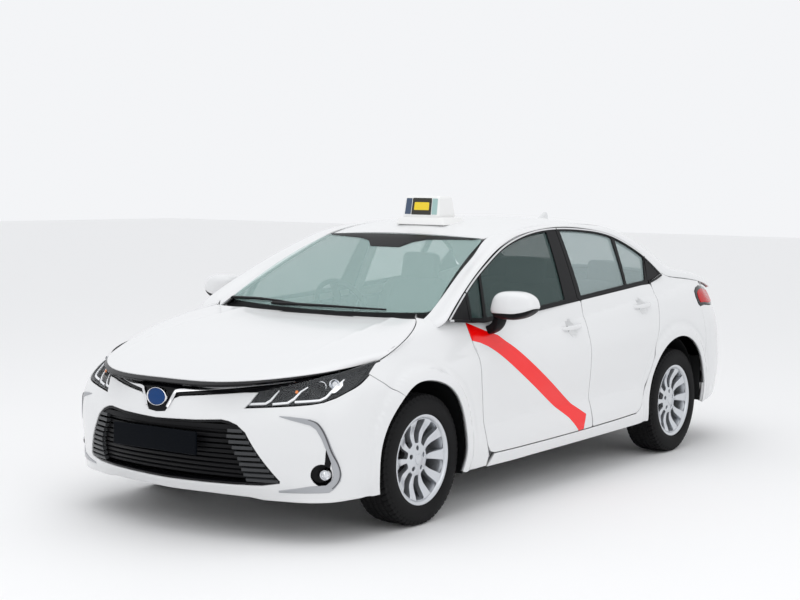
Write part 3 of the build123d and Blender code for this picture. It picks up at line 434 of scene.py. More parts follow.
# a closed panel: the surface inside an outline, a rolled edge of the given radius, a wall and a
# back at the given depth; P = S(a, b) - d n(a, b), d = roll (1 - cos) along the edge
def panel(surface, outline, holes=(), step=0.018, thick=0.02, roll=0.003, flip=False, edgeStep=None,
          out=None):
    edgeStep = edgeStep or step
    if out is not None:
        middle = np.asarray(outline, float).mean(0)
        flip = (normalsOf(surface, middle[:1], middle[1:]) @ np.asarray(out, float))[0] < 0
    loops = []
    for index, loop in enumerate([outline, *holes]):
        loop = loopDense(loop, edgeStep)
        if turnsLeft(loop) != (index == 0):
            loop = loop[::-1]
        loops.append(loop)
    inner = [loopOffset(loop, -roll) for loop in loops]
    low, high = loops[0].min(0), loops[0].max(0)
    gridA, gridB = np.meshgrid(np.arange(low[0] + step / 2, high[0], step),
                               np.arange(low[1] + step / 2, high[1], step))
    grid = np.stack([gridA.ravel(), gridB.ravel()], 1)
    keep = insideLoop(grid, inner[0])
    for loop in inner[1:]:
        keep &= ~insideLoop(grid, loop)
    grid = grid[keep]
    keep = np.ones(len(grid), bool)
    for loop in inner:
        keep &= awayFromLoop(grid, loop) > step * 0.45
    grid = grid[keep]
    flat = np.vstack(inner + [grid])
    edges, first = [], 0
    for loop in inner:
        ring = np.arange(len(loop)) + first
        edges += list(zip(ring.tolist(), np.roll(ring, -1).tolist()))
        first += len(loop)
    made = delaunay_2d_cdt(flat.tolist(), edges, [], 0, 1e-7, True)
    verts = np.array(made[0])
    faces = np.array([f for f in made[2] if len(f) == 3])
    centre = verts[faces].mean(1)
    keep = insideLoop(centre, inner[0])
    for loop in inner[1:]:
        keep &= ~insideLoop(centre, loop)
    faces = faces[keep]
    area = np.cross(verts[faces[:, 1]] - verts[faces[:, 0]], verts[faces[:, 2]] - verts[faces[:, 0]])
    faces = np.where((area > 0)[:, None], faces, faces[:, ::-1])
    place = np.full(len(flat), -1)
    merged = np.fromiter(map(len, made[3]), int)
    place[np.fromiter(chain.from_iterable(made[3]), int)] = np.repeat(np.arange(len(merged)), merged)

    def at(ab, depth):
        p = surface(ab[:, 0], ab[:, 1])
        n = normalsOf(surface, ab[:, 0], ab[:, 1]) * (-1 if flip else 1)
        return p - n * depth, n

    count = len(verts)
    front, normal = at(verts, 0.0)
    back, _ = at(verts, thick)
    points, normals = [front, back], [normal, -normal]
    quads = []
    total, first = 2 * count, 0
    turns = (math.pi / 6, math.pi / 3, math.pi / 2)
    for loop, outer in zip(inner, loops):
        ring = place[first:first + len(loop)]
        backRing = ring + count
        rows = [ring]
        sideways = None
        for turn in turns:
            p, n = at(loop + (outer - loop) * math.sin(turn), roll * (1 - math.cos(turn)))
            if sideways is None:
                tangent = unit(np.roll(p, -1, 0) - np.roll(p, 1, 0))
                sideways = np.cross(tangent, n) * (-1 if flip else 1)
            points.append(p)
            normals.append(unit(n * math.cos(turn) + sideways * math.sin(turn)))
            rows.append(np.arange(len(loop)) + total)
            total += len(loop)
        p, n = at(outer, thick)
        points[1][ring] = p
        rows.append(backRing)
        for one, two in zip(rows, rows[1:]):
            quads.append(np.stack([two, np.roll(two, -1), np.roll(one, -1), one], 1))
        first += len(loop)
    quads = np.vstack(quads)
    if flip:
        faces, quads = faces[:, ::-1], quads[:, ::-1]
    allFaces = faces.tolist() + (faces[:, ::-1] + count).tolist() + quads.tolist()
    return shapeOf(np.vstack(points), allFaces, np.vstack(normals))

# faces over a grid of points, which may close on itself either way
def gridFaces(rows, columns, wrapRows=False, wrapColumns=False):
    r = np.arange(rows if wrapRows else rows - 1)
    c = np.arange(columns if wrapColumns else columns - 1)
    r, c = np.meshgrid(r, c, indexing="ij")
    r2, c2 = (r + 1) % rows, (c + 1) % columns
    quads = np.stack([r * columns + c, r * columns + c2, r2 * columns + c2, r2 * columns + c], -1)
    return quads.reshape(-1, 4).tolist()

# faces of a tube of rings, closed at both ends
def tubeFaces(rows, columns):
    ends = [list(range(columns))[::-1], list(range((rows - 1) * columns, rows * columns))]
    return gridFaces(rows, columns, wrapColumns=True) + ends

# faces of a ball of rings; its last two points are the lower and the upper pole
def ballFaces(rows, columns):
    last = rows * columns
    ring = np.arange(columns)
    top = ring + (rows - 1) * columns
    faces = gridFaces(rows, columns, wrapColumns=True)
    faces += np.stack([np.full(columns, last), np.roll(ring, -1), ring], 1).tolist()
    return faces + np.stack([np.full(columns, last + 1), top, np.roll(top, -1)], 1).tolist()

# a profile carried along a path: P = path + profile.x * side + profile.y * up; ends closed
def sweep(path, profile, up, scale=None, closed=False):
    path, profile = np.asarray(path, float), np.asarray(profile, float)
    up = np.broadcast_to(np.asarray(up, float), path.shape)
    if closed:
        tangent = unit(np.roll(path, -1, 0) - np.roll(path, 1, 0))
    else:
        tangent = unit(np.gradient(path, axis=0))
    side = unit(np.cross(tangent, up))
    lift = np.cross(side, tangent)
    size = np.ones(len(path)) if scale is None else np.asarray(scale, float)
    points = (path[:, None] + size[:, None, None] * (profile[None, :, :1] * side[:, None]
                                                     + profile[None, :, 1:] * lift[:, None]))
    rows, columns = points.shape[:2]
    faces = gridFaces(rows, columns, True, True) if closed else tubeFaces(rows, columns)
    return shapeOf(points.reshape(-1, 3), faces)

# a round outline: (r cos, r sin)
def circleProfile(radius, count=12):
    angle = np.linspace(0, 2 * math.pi, count, endpoint=False)
    return np.stack([radius * np.cos(angle), radius * np.sin(angle)], 1)

# a rectangle with rounded corners
def boxProfile(width, height, radius, count=3):
    corners = [(width / 2, height / 2), (-width / 2, height / 2), (-width / 2, -height / 2),
               (width / 2, -height / 2)]
    return rounded(np.array(corners), radius, count)

# a closed (x, radius) outline turned about the X axis: P = (x, r cos, r sin)
def turned(outline, count=96):
    outline = np.asarray(outline, float)
    angle = np.linspace(0, 2 * math.pi, count, endpoint=False)[:, None]
    x = np.broadcast_to(outline[:, 0], (count, len(outline)))
    points = np.stack([x, outline[:, 1] * np.cos(angle), outline[:, 1] * np.sin(angle)], 2)
    return shapeOf(points.reshape(-1, 3), gridFaces(count, len(outline), True, True))

# a block with rounded edges: P = sign(d) (half - r) + d r for every direction d
def roundedBlock(low, high, radius, count=24):
    low, high = np.asarray(low, float), np.asarray(high, float)
    centre, half = (low + high) / 2, (high - low) / 2
    tilt = np.linspace(-math.pi / 2, math.pi / 2, count // 2 + 1)[1:-1]
    turn = (np.arange(count) + 0.5) * 2 * math.pi / count
    tilt, turn = np.meshgrid(tilt, turn, indexing="ij")
    ball = np.stack([np.cos(tilt) * np.cos(turn), np.cos(tilt) * np.sin(turn), np.sin(tilt)], -1)
    points = (np.sign(ball) * (half - radius) + ball * radius).reshape(-1, 3)
    poles = np.array([[0, 0, -half[2]], [0, 0, half[2]]])
    return shapeOf(np.vstack([points, poles]) + centre, ballFaces(*ball.shape[:2]))

# several shapes as one
def joined(*shapes):
    points = np.vstack([s["points"] for s in shapes])
    faces, first = [], 0
    for s in shapes:
        faces += [[i + first for i in face] for face in s["faces"]]
        first += len(s["points"])
    normals = None
    if all(s["normals"] is not None for s in shapes):
        normals = np.vstack([s["normals"] for s in shapes])
    return shapeOf(points, faces, normals)

def sameShape(shape):
    return shape

# a shape mirrored to the car's right side, its faces turned back outward
def mirroredShape(shape):
    flipX = np.array([-1.0, 1, 1])
    normals = None if shape["normals"] is None else shape["normals"] * flipX
    return shapeOf(shape["points"] * flipX, [face[::-1] for face in shape["faces"]], normals)

hands = {"left": sameShape, "right": mirroredShape}

def bothHands(shape):
    return joined(shape, mirroredShape(shape))

# P = matrix * point + offset
def moved(shape, matrix=None, offset=(0, 0, 0)):
    points, normals = shape["points"], shape["normals"]
    if matrix is not None:
        turn = np.array(matrix, float)[:3, :3]
        points = points @ turn.T
        normals = None if normals is None else normals @ turn.T
    return shapeOf(points + np.asarray(offset, float), shape["faces"], normals)

# a surface moved inward: S(a, b) - depth n(a, b); the depth is a number or a function of (a, b)
def inset(surface, depth):
    def moved(a, b):
        amount = depth(a, b) if callable(depth) else depth
        return surface(a, b) - normalsOf(surface, a, b) * np.reshape(amount, (-1, 1))
    return moved

# a surface of two shares stretched to metres, so that its mesh is even: S(a / width, b / length)
def stretched(surface, width, length):
    return lambda a, b: surface(a / width, b / length)

# puts a shape into the scene as a piece that rides on a body and stands for CAD nodes
def place(name, shape, material, body="body", replaces=(), slot="black_trim", sharp=35):
    mesh = bpy.data.meshes.new(name)
    mesh.from_pydata(shape["points"].tolist(), [], shape["faces"])
    mesh.validate()
    mesh.update()
    mesh.polygons.foreach_set("use_smooth", np.ones(len(mesh.polygons), bool))
    if shape["normals"] is not None:
        mesh.normals_split_custom_set_from_vertices(shape["normals"].tolist())
    else:
        mesh.set_sharp_from_angle(angle=math.radians(sharp))
    piece = bpy.data.objects.new(name, mesh)
    bpy.context.scene.collection.objects.link(piece)
    mesh.materials.append(material)
    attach(piece, body)
    if replaces:
        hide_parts(*replaces)
    return piece

# a finish whose roughness, and height where bump is set, follow a fine noise
def finish(name, colour, roughness, scale, rough, bump=0.0, distance=0.0005, kind="noise",
           metal=0.0, coat=0.0, alpha=1.0, specular=0.5, sheen=0.0):
    made = bpy.data.materials.new(name)
    made.use_nodes = True
    nodes, links = made.node_tree.nodes, made.node_tree.links
    shader = nodes["Principled BSDF"]
    settings = {"Base Color": (*colour, 1), "Roughness": roughness, "Metallic": metal,
                "Coat Weight": coat, "Coat Roughness": 0.03, "Alpha": alpha,
                "Specular IOR Level": specular, "Sheen Weight": sheen}
    for key, value in settings.items():
        shader.inputs[key].default_value = value
    where = nodes.new("ShaderNodeTexCoord")
    pattern = nodes.new("ShaderNodeTexNoise" if kind == "noise" else "ShaderNodeTexVoronoi")
    pattern.inputs["Scale"].default_value = scale
    if kind == "noise":
        pattern.inputs["Detail"].default_value = 3.0
    links.new(where.outputs["Object"], pattern.inputs["Vector"])
    source = pattern.outputs["Fac" if kind == "noise" else "Distance"]
    span = nodes.new("ShaderNodeMapRange")
    span.inputs["To Min"].default_value, span.inputs["To Max"].default_value = rough
    links.new(source, span.inputs["Value"])
    links.new(span.outputs["Result"], shader.inputs["Roughness"])
    if bump:
        height = nodes.new("ShaderNodeBump")
        height.inputs["Strength"].default_value = bump
        height.inputs["Distance"].default_value = distance
        links.new(source, height.inputs["Height"])
        links.new(height.outputs["Normal"], shader.inputs["Normal"])
    return made

white = (0.76, 0.765, 0.77)
paintLook = (0.22, 900, (0.2, 0.26), 0.02, 0.0002)  # roughness, noise scale and range, bump, height
bodyPaint = finish("whitePaint", white, *paintLook, coat=0.3, specular=0.3)
blackTrim = finish("blackTrim", (0.008, 0.008, 0.009), 0.4, 240, (0.34, 0.48), 0.05, 0.0002, specular=0.1)
blackGloss = finish("blackGloss", (0.004, 0.004, 0.005), 0.12, 60, (0.1, 0.18), specular=0.14)
slatGrey = finish("slatGrey", (0.045, 0.047, 0.05), 0.35, 60, (0.3, 0.42), specular=0.25)
rubber = finish("tyreRubber", (0.008, 0.008, 0.0085), 0.7, 500, (0.62, 0.85), 0.25, 0.0006, specular=0.16)
chrome = finish("chromeTrim", (0.78, 0.78, 0.79), 0.1, 80, (0.06, 0.14), metal=1.0)
satin = finish("satinSilver", (0.42, 0.43, 0.45), 0.3, 200, (0.25, 0.38), metal=1.0)
alloy = finish("alloySilver", (0.62, 0.64, 0.67), 0.3, 400, (0.24, 0.34), 0.03, 0.0002, metal=0.85, coat=0.4)
screenGlass = finish("screenGlass", (0.52, 0.72, 0.69), 0.02, 3, (0.01, 0.03), alpha=0.32, specular=0.4)
sideGlass = finish("sideGlass", (0.045, 0.08, 0.076), 0.02, 3, (0.01, 0.03), alpha=0.55, specular=0.25)
rearSideGlass = finish("rearSideGlass", (0.4, 0.5, 0.5), 0.02, 3, (0.01, 0.03), alpha=0.45, specular=0.5)
lensClear = finish("lensClear", (0.75, 0.78, 0.8), 0.02, 5, (0.01, 0.03), alpha=0.03, specular=0.12)
redLens = finish("redLens", (0.5, 0.002, 0.004), 0.2, 260, (0.15, 0.25), 0.3, 0.001, "voronoi",
                 specular=0.08)
darkPlastic = finish("darkPlastic", (0.012, 0.0125, 0.013), 0.6, 350, (0.48, 0.65), 0.3, 0.0003,
                     specular=0.15)
underPaint = finish("underbodyPaint", (0.008, 0.008, 0.0085), 0.8, 120, (0.6, 0.8), 0.2, 0.001, specular=0.1)
discSteel = finish("discSteel", (0.08, 0.08, 0.085), 0.4, 160, (0.35, 0.5), 0.1, 0.0005, metal=0.8)
castMetal = finish("castMetal", (0.3, 0.3, 0.31), 0.5, 160, (0.4, 0.6), 0.3, 0.001, metal=0.9)
steelPipe = finish("steelPipe", (0.35, 0.33, 0.31), 0.4, 60, (0.3, 0.55), 0.1, 0.001, metal=1.0)
seatCloth = finish("seatCloth", (0.17, 0.19, 0.19), 0.9, 900, (0.8, 0.95), 0.5, 0.0008, sheen=0.2)
lampBlack = finish("lampInside", (0.008, 0.0085, 0.01), 0.3, 90, (0.2, 0.35), specular=0.12)
lampBright = finish("lampReflector", (0.75, 0.77, 0.8), 0.12, 60, (0.08, 0.18), metal=1.0)
lampLight = finish("lightStrip", (0.92, 0.93, 0.95), 0.2, 60, (0.15, 0.25), coat=0.5)
amber = finish("amberLens", (0.85, 0.22, 0.02), 0.15, 60, (0.1, 0.2), coat=0.5)
plateBlack = finish("plateBlack", (0.002, 0.003, 0.005), 0.6, 60, (0.45, 0.55), specular=0.05)
# painted shade: a dark grey for the strip that stands for the shadowed side of the bumper trims
paintedTrimShade = finish("paintedTrimShade", (0.1, 0.1, 0.105), 0.4, 60, (0.35, 0.45), metal=0.6)
plateWhite = finish("plateWhite", (0.75, 0.75, 0.74), 0.35, 60, (0.3, 0.4))
badgeBlue = finish("badgeBlue", (0.005, 0.045, 0.17), 0.15, 60, (0.1, 0.2), specular=0.2)
signWhite = finish("signWhite", (0.85, 0.85, 0.84), 0.3, 60, (0.25, 0.35), coat=0.2)
signBlue = finish("signBlue", (0.05, 0.08, 0.14), 0.25, 60, (0.2, 0.3))
signBlack = finish("signBlack", (0.02, 0.018, 0.01), 0.25, 60, (0.2, 0.3))
dashGrey = finish("dashGrey", (0.045, 0.05, 0.05), 0.6, 350, (0.55, 0.7), 0.3, 0.0003, specular=0.3)
signYellow = finish("signYellow", (0.85, 0.62, 0.02), 0.3, 60, (0.2, 0.3))
signGreen = finish("signGreen", (0.35, 0.52, 0.5), 0.2, 60, (0.15, 0.25))

# the stripe of the front doors: red where lowerY(z) < y < upperY(z), both piecewise straight in z
stripe = {
    "heights": (0.29, 0.317, 0.369, 0.436, 0.812, 0.834, 0.859, 0.888, 0.94),
    "upper": (0.105, 0.112, 0.141, 0.009, -0.594, -0.628, -0.668, -0.77, -0.915),
    "lower": (0.044, 0.014, -0.05, -0.166, -0.791, -0.85, -0.96, -1.0, -1.0),
    "red": (0.92, 0.0, 0.0), "fringe": (0.62, 0.8, 0.8), "fringeWidth": 0.009, "soft": 0.0015,
}

def stripedPaint():
    made = finish("stripedPaint", white, *paintLook, coat=0.3, specular=0.3)
    nodes, links = made.node_tree.nodes, made.node_tree.links
    shader = nodes["Principled BSDF"]
    where = nodes.new("ShaderNodeTexCoord")
    split = nodes.new("ShaderNodeSeparateXYZ")
    links.new(where.outputs["Object"], split.inputs["Vector"])

    def difference(first, second):
        node = nodes.new("ShaderNodeMath")
        node.operation = "SUBTRACT"
        links.new(first, node.inputs[0])
        links.new(second, node.inputs[1])
        return node.outputs["Value"]

    # 1 above a curve y(z) with a soft edge, from a float curve over the height
    def beyond(values, shift):
        low, high = stripe["heights"][0], stripe["heights"][-1]
        curve = nodes.new("ShaderNodeFloatCurve")
        height = nodes.new("ShaderNodeMapRange")
        height.inputs["From Min"].default_value, height.inputs["From Max"].default_value = low, high
        links.new(split.outputs["Z"], height.inputs["Value"])
        line = curve.mapping.curves[0]
        for z, y in zip(stripe["heights"], values):
            at, value = (z - low) / (high - low), (y + 1) / 1.5
            if z in (low, high):
                line.points[0 if z == low else -1].location = (at, value)
            else:
                line.points.new(at, value)
        for point in line.points:
            point.handle_type = "VECTOR"
        curve.mapping.update()
        links.new(height.outputs["Result"], curve.inputs["Value"])
        place = nodes.new("ShaderNodeMapRange")
        place.inputs["To Min"].default_value = -1 + shift
        place.inputs["To Max"].default_value = 0.5 + shift
        links.new(curve.outputs["Value"], place.inputs["Value"])
        away = difference(split.outputs["Y"], place.outputs["Result"])
        edge = nodes.new("ShaderNodeMapRange")
        edge.inputs["From Min"].default_value = -stripe["soft"]
        edge.inputs["From Max"].default_value = stripe["soft"]
        links.new(away, edge.inputs["Value"])
        return edge.outputs["Result"]

    def band(shift):
        return difference(beyond(stripe["lower"], -shift), beyond(stripe["upper"], shift))

    colour = None
    for shade, shift in ((stripe["fringe"], stripe["fringeWidth"]), (stripe["red"], 0.0)):
        mix = nodes.new("ShaderNodeMix")
        mix.data_type = "RGBA"
        mix.clamp_factor = True
        links.new(band(shift), mix.inputs[0])
        mix.inputs[6].default_value = (*white, 1)
        if colour is not None:
            links.new(colour, mix.inputs[6])
        mix.inputs[7].default_value = (*shade, 1)
        colour = mix.outputs[2]
    links.new(colour, shader.inputs["Base Color"])
    return made

doorPaint = stripedPaint()
print("stage: materials")

gap = 0.0025  # half the width of a shut gap

nose = {
    "barTop": ((-2.19, 0.753), (-2.27, 0.742), (-2.44, 0.726), (-2.63, 0.712), (-2.876, 0.706)),
    "barEnd": ((-2.224, 0.728), (-2.12, 0.752)),
    "barFoot": (-2.876, 0.574), "barDepth": 0.004,
    "chrome": ((-2.814, 0.596), (-2.796, 0.634), (-2.774, 0.67), (-2.754, 0.674), (-2.624, 0.687),
        (-2.4, 0.709), (-2.222, 0.728)),
    "chromeSize": (0.0155, 0.004, 0.006), "chromeTaper": (1.0, 0.4),  # width, lift, thickness
    "badge": (0.0, -2.288, 0.64), "badgeSize": (0.063, 0.0425), "badgeLean": -4,
}

bodyOutline = {
    # (u, z) on the belt
    "lampLower": ((-2.445, 0.618), (-2.32, 0.626), (-2.192, 0.635), (-2.11, 0.642), (-2.046, 0.651),
        (-1.99, 0.668), (-1.935, 0.693), (-1.86, 0.719), (-1.751, 0.756), (-1.68, 0.785),
        (-1.62, 0.808)),
    "lampUpper": ((-1.69, 0.802), (-1.9, 0.776), (-2.066, 0.753), (-2.224, 0.722), (-2.389, 0.684)),
    "bottomFront": ((-2.876, 0.199), (-2.681, 0.202), (-2.444, 0.199), (-2.375, 0.189), (-2.186, 0.19),
        (-2.025, 0.195), (-1.912, 0.2), (-1.765, 0.203)),
    "seam": ((-1.59, 0.645), (-1.64, 0.68), (-1.751, 0.756)), "archFoot": (-1.724, 0.204),
    "grille": ((-2.876, 0.545), (-2.66, 0.552), (-2.537, 0.561), (-2.5, 0.556), (-2.455, 0.541),
        (-2.407, 0.508), (-2.258, 0.29), (-2.262, 0.278), (-2.35, 0.262), (-2.5, 0.256),
        (-2.876, 0.25)),
    "barLow": ((-2.389, 0.685), (-2.45, 0.683), (-2.6, 0.668), (-2.755, 0.652)),
    "pod": ((-2.785, 0.638), (-2.806, 0.61), (-2.826, 0.578), (-2.876, 0.572)),
}

# the black band between the nose bar and the hood's edge, a little below the hood's surface; its
# front edge is back (1 - (s / reach)^2)^0.6 behind the hood's own front line
def noseBand():
    width, reach, wide, end, foot, drop = hood["band"]
    share = np.linspace(-width, width, 61)
    edge = (hood["edgeBack"] + wide) * np.clip(1 - (share / reach) ** 2, 0, 1) ** 0.6 + end
    outline = np.vstack([np.stack([share, edge], 1), [(width, -foot), (-width, -foot)]])
    top = stretched(hoodSurface, *hood["size"])
    return panel(lambda a, b: top(a, b) - (0, 0, drop), outline * hood["size"], step=0.02,
                 edgeStep=0.016, thick=0.012, roll=0.001, out=(0, 0, 1))

# points of a wheel arch from one angle to another, degrees from straight back
def archArc(which, start, end, count):
    angle = np.radians(np.linspace(start, end, count))
    radius = belt["archRadius"][which]
    return np.stack([belt["archY"][which] + radius * np.cos(angle),
                     belt["archZ"][which] + radius * np.sin(angle)], 1)

# direction of a point seen from a wheel arch's centre, in degrees
def angleOnArch(which, y, z):
    return math.degrees(math.atan2(z - belt["archZ"][which], y - belt["archY"][which]))

# the belt mirrored at the nose: stations below the nose's are the right side's
def frontRing(u, z):
    fold = np.where(u < beltKnots[0], 2 * beltKnots[0] - u, u)
    p = beltSurface(fold, z)
    p[:, 0] *= np.where(u < beltKnots[0], -1, 1)
    return p

# the belt mirrored at the tail
def rearRing(u, z):
    fold = np.where(u > beltKnots[-1], 2 * beltKnots[-1] - u, u)
    p = beltSurface(fold, z)
    p[:, 0] *= np.where(u > beltKnots[-1], -1, 1)
    return p

# half an outline and its mirror image about a middle station, as one loop
def completeRing(half, middle):
    half = np.asarray(half, float)
    other = half[::-1].copy()
    other[:, 0] = 2 * middle - other[:, 0]
    keep = np.abs(other[:, 0] - middle) > 1e-6
    return np.vstack([half, other[keep]])

# the hood inside its outline; its front edge lies back (1 - (s / edgeShare)^2)^0.6 from the nose
def hoodPanel():
    corner = 1 - gap / hood["cornerGap"]
    share = np.linspace(-corner, corner, 61)
    edge = hood["edgeBack"] * np.clip(1 - (share / hood["edgeShare"]) ** 2, 0, 1) ** 0.6
    outline = np.vstack([np.stack([share, gap + edge], 1), [(corner, 1 - gap), (-corner, 1 - gap)]])
    loop = rounded(outline * hood["size"], hood["corner"])
    return panel(stretched(hoodSurface, *hood["size"]), loop, step=0.016, thick=hood["thick"],
                 roll=0.004, out=(0, 0, 1))

# the front bumper: under the lamps and the nose bar, round the arch, with holes for grille and fogs
def bumperPanel():
    line = bodyOutline
    arch = archArc(0, 360 + angleOnArch(0, *line["archFoot"]), angleOnArch(0, *line["seam"][0]), 18)
    half = [*line["bottomFront"], *map(tuple, arch)]
    half += [(u, z - gap) for u, z in line["seam"][1:]]
    half += [(u, z - 2 * gap) for u, z in line["lampLower"][:-2]][::-1][1:]
    half += [(u, z - gap) for u, z in line["barLow"]] + list(line["pod"])
    outline = completeRing(half, beltKnots[0])
    hole = completeRing(line["grille"], beltKnots[0])
    turn = np.linspace(0, 2 * math.pi, 36, endpoint=False)
    u, z, radius = fog["hole"]
    ring = np.stack([u + radius * np.cos(turn), z + radius * np.sin(turn)], 1)
    other = ring.copy()
    other[:, 0] = 2 * beltKnots[0] - other[:, 0]
    return panel(frontRing, outline, [hole, ring, other], step=0.02, edgeStep=0.012, thick=0.03, roll=0.004)

fender = {
    "low": 0.8, "rise": 0.22, "start": -1.63, "span": 0.08, "flatten": 0.9,
    "top": (-1.634, -1.125), "archEnd": -20.7,
    "foot": ((-0.842, 0.272), (-0.852, 0.219), (-1.042, 0.213)),
    "windowLine": ((-1.11, 0.975), (-1.088, 0.956)),
    "lampEnd": ((-1.68, 0.79), (-1.622, 0.814)),
}

# F(u, z): the belt up to a line, then a Hermite curve over to the hood's side edge
def fenderSurface(u, z):
    low = fender["low"] + fender["rise"] * np.maximum(u - fender["start"], 0)
    t = np.clip((z - low) / fender["span"], 0, 1)
    base = beltSurface(u, np.minimum(z, low))
    tangent = (beltSurface(u, low + 0.002) - beltSurface(u, low - 0.002)) / 0.004
    v = np.linspace(0, 1.06, 40)
    edge = hoodSurface(np.full(40, 1 + gap / 0.5), v)
    inward = unit(edge - hoodSurface(np.full(40, 0.97), v))
    end = np.stack([np.interp(u, edge[:, 1], edge[:, k]) for k in range(3)], 1)
    slope = np.stack([np.interp(u, edge[:, 1], inward[:, k]) for k in range(3)], 1)
    reach = np.linalg.norm(end - base, axis=1, keepdims=True)
    curve = hermite(base, end, unit(tangent) * reach, -unit(slope) * reach * fender["flatten"], t)
    return np.where((z > low)[:, None], curve, base)

doorLine = {
    # (y, z) of the shut lines on the flank, from the window line down, and below the doors
    "frontLeading": ((-0.905, 0.938), (-0.91, 0.835), (-0.912, 0.646), (-0.885, 0.44), (-0.858, 0.322),
        (-0.83, 0.288), (-0.788, 0.276)),
    "bottom": ((-0.788, 0.276), (-0.3, 0.281), (0.2, 0.29), (0.5, 0.297), (0.74, 0.305)),
    "rearTrailing": ((0.74, 0.305), (0.79, 0.325), (0.845, 0.374), (0.99, 0.624), (1.07, 0.824),
        (1.118, 0.94), (1.138, 1.01), (1.15, 1.047)),
    "middle": ((0.206, 0.289), (0.204, 0.45), (0.208, 0.6), (0.222, 0.8), (0.232, 0.9),
        (0.24, 0.99)),
    "sillBottom": ((-1.042, 0.212), (-0.4, 0.222), (0.2, 0.232), (0.75, 0.24), (0.9, 0.244)),
    "sillFront": (-0.842, 0.213),
    "frontTop": ((-0.233, 0.956), (-0.785, 0.93)), "frontCorners": ((0.203, 0.292), (0.238, 0.985)),
    "rearTop": ((1.13, 1.036), (1.02, 1.034), (0.795, 1.02)),
    "rearCorners": ((0.209, 0.293), (0.242, 0.986)),
}

# belt stations of points given by y and z
def toStations(points):
    return beltStations(points, "yz")

# the front fender: the flank from the arch to the door and over to the hood's edge
def fenderPanel():
    tops = np.linspace(*fender["top"], 16)
    line = fender["low"] + fender["rise"] * (tops - fender["start"]) + fender["span"]
    seam = np.array(bodyOutline["seam"])[::-1] + (0.0, gap)
    arch = archArc(0, angleOnArch(0, *bodyOutline["seam"][0]), fender["archEnd"], 30)
    leading = toStations([(y - gap, z) for y, z in doorLine["frontLeading"][:-2]])
    loop = np.vstack([np.stack([tops, line], 1), fender["windowLine"], leading,
                      toStations(fender["foot"]), arch[::-1], seam[::-1][1:], fender["lampEnd"]])
    return panel(fenderSurface, loop, step=0.016, edgeStep=0.01, thick=0.02, roll=0.003)

quarterLine = {
    "archFoot": (0.945, 0.248), "archEnd": -10.0, "archPull": (0.036, 0.47, 0.3), "tailTop": 1.98,
    "toBumper": ((1.675, 0.3), (1.69, 0.52), (1.69, 0.7), (1.64, 0.868)),
    "lampEdge": ((1.606, 0.89), (1.598, 0.93), (1.622, 0.962), (1.69, 0.982), (1.8, 0.992),
        (2.0, 0.984)),
}

# quarter panel with the sill in one: under the doors, round the rear arch and up to the strip
def quarterPanel():
    line = quarterLine
    sill = toStations([doorLine["sillFront"], *doorLine["sillBottom"][1:]])
    arch = archArc(1, 360 + angleOnArch(1, *line["archFoot"]), line["archEnd"], 44)
    pull, start, full = line["archPull"]
    arch[:, 0] -= pull * ease(start, full, arch[:, 1]) * (arch[:, 0] < belt["archY"][1] - 0.01)
    rows = np.arange(stripCount - 1, windowRows - 1.01, -0.5)
    top = toStations(stripOuter(rows)[:, 1:]) - (0.0, gap / 2)
    top = top[top[:, 0] < line["tailTop"]]
    trailing = toStations([(y + gap, z) for y, z in doorLine["rearTrailing"]])
    bottom = toStations([(y, z - gap) for y, z in doorLine["bottom"]])
    loop = np.vstack([sill, arch, line["toBumper"], line["lampEdge"], top, trailing[::-1], bottom[::-1]])
    return panel(beltSurface, loop, step=0.02, edgeStep=0.013, thick=0.02, roll=0.003)

# (y, z) outline of a door below the window line, half a gap inside its shut lines
def doorLoop(which):
    line = doorLine
    (lowY, lowZ), (highY, highZ) = line[which + "Corners"]
    if which == "front":
        front = [(y + gap, z) for y, z in line["frontLeading"][:-1]]
        low = [(y, z + gap) for y, z in line["bottom"] if y < 0.15] + [(lowY - gap, lowZ)]
        back = [(y - gap, z) for y, z in line["middle"][1:-1]]
        return np.array([*front, *low, *back, (highY - gap, highZ), *line["frontTop"]])
    low = [(lowY + gap, lowZ)] + [(y, z + gap) for y, z in line["bottom"] if y > 0.25]
    back = [(y - gap, z) for y, z in line["rearTrailing"][1:-1]]
    front = [(y + gap, z) for y, z in line["middle"][1:-1]][::-1]
    return np.array([*low, *back, *line["rearTop"], (highY + gap, highZ), *front])

handles = {
    "front": (0.06, 0.843), "rear": (0.906, 0.913), "cup": 0.045, "sink": 0.03,
    "reach": 0.105, "lift": 0.006, "rise": 0.045, "bow": 0.03, "foot": 0.006,
    "grip": (0.026, 0.014, 0.006),
}

# the door skin: the belt pressed in behind the handle by sink (1 - (r / cup)^2)^0.8
def doorSkin(which):
    y0, z0 = handles[which]
    cup, sink = handles["cup"], handles["sink"]

    def surface(u, z):
        p = beltSurface(u, z)
        away = np.hypot(p[:, 1] - y0, p[:, 2] - z0)
        dish = sink * np.clip(1 - (away / cup) ** 2, 0, 1) ** 0.8
        p[:, 0] -= dish
        return p
    return surface

def doorPanel(which):
    loop = toStations(rounded(doorLoop(which), 0.01, 4))
    return panel(doorSkin(which), loop, step=0.014, edgeStep=0.012, thick=0.02, roll=0.003)

# the strip from the edge of the glass and roof out to the window line
def stripPanel():
    rows, scale = stripCount - 1, 0.2
    scaled = lambda a, b: stripSurface(np.clip(a / scale, 0, rows), b / scale)
    last = rows * scale - 0.004
    loop = np.array([(0.02, 0.006), (last, 0.006), (last, 0.198), (0.02, 0.198)])
    return panel(scaled, loop, step=0.022, thick=0.02, roll=0.003, out=(0.4, 0, 1))

def roofPanel():
    (width, length), (side, end) = roof["size"], roof["inset"]
    w, far = width - side, length - end
    loop = rounded(np.array([(-w, end), (w, end), (w, far), (-w, far)]), roof["corner"])
    return panel(stretched(roofSurface, width, length), loop, step=0.022, thick=0.02, roll=0.003,
                 out=(0, 0, 1))

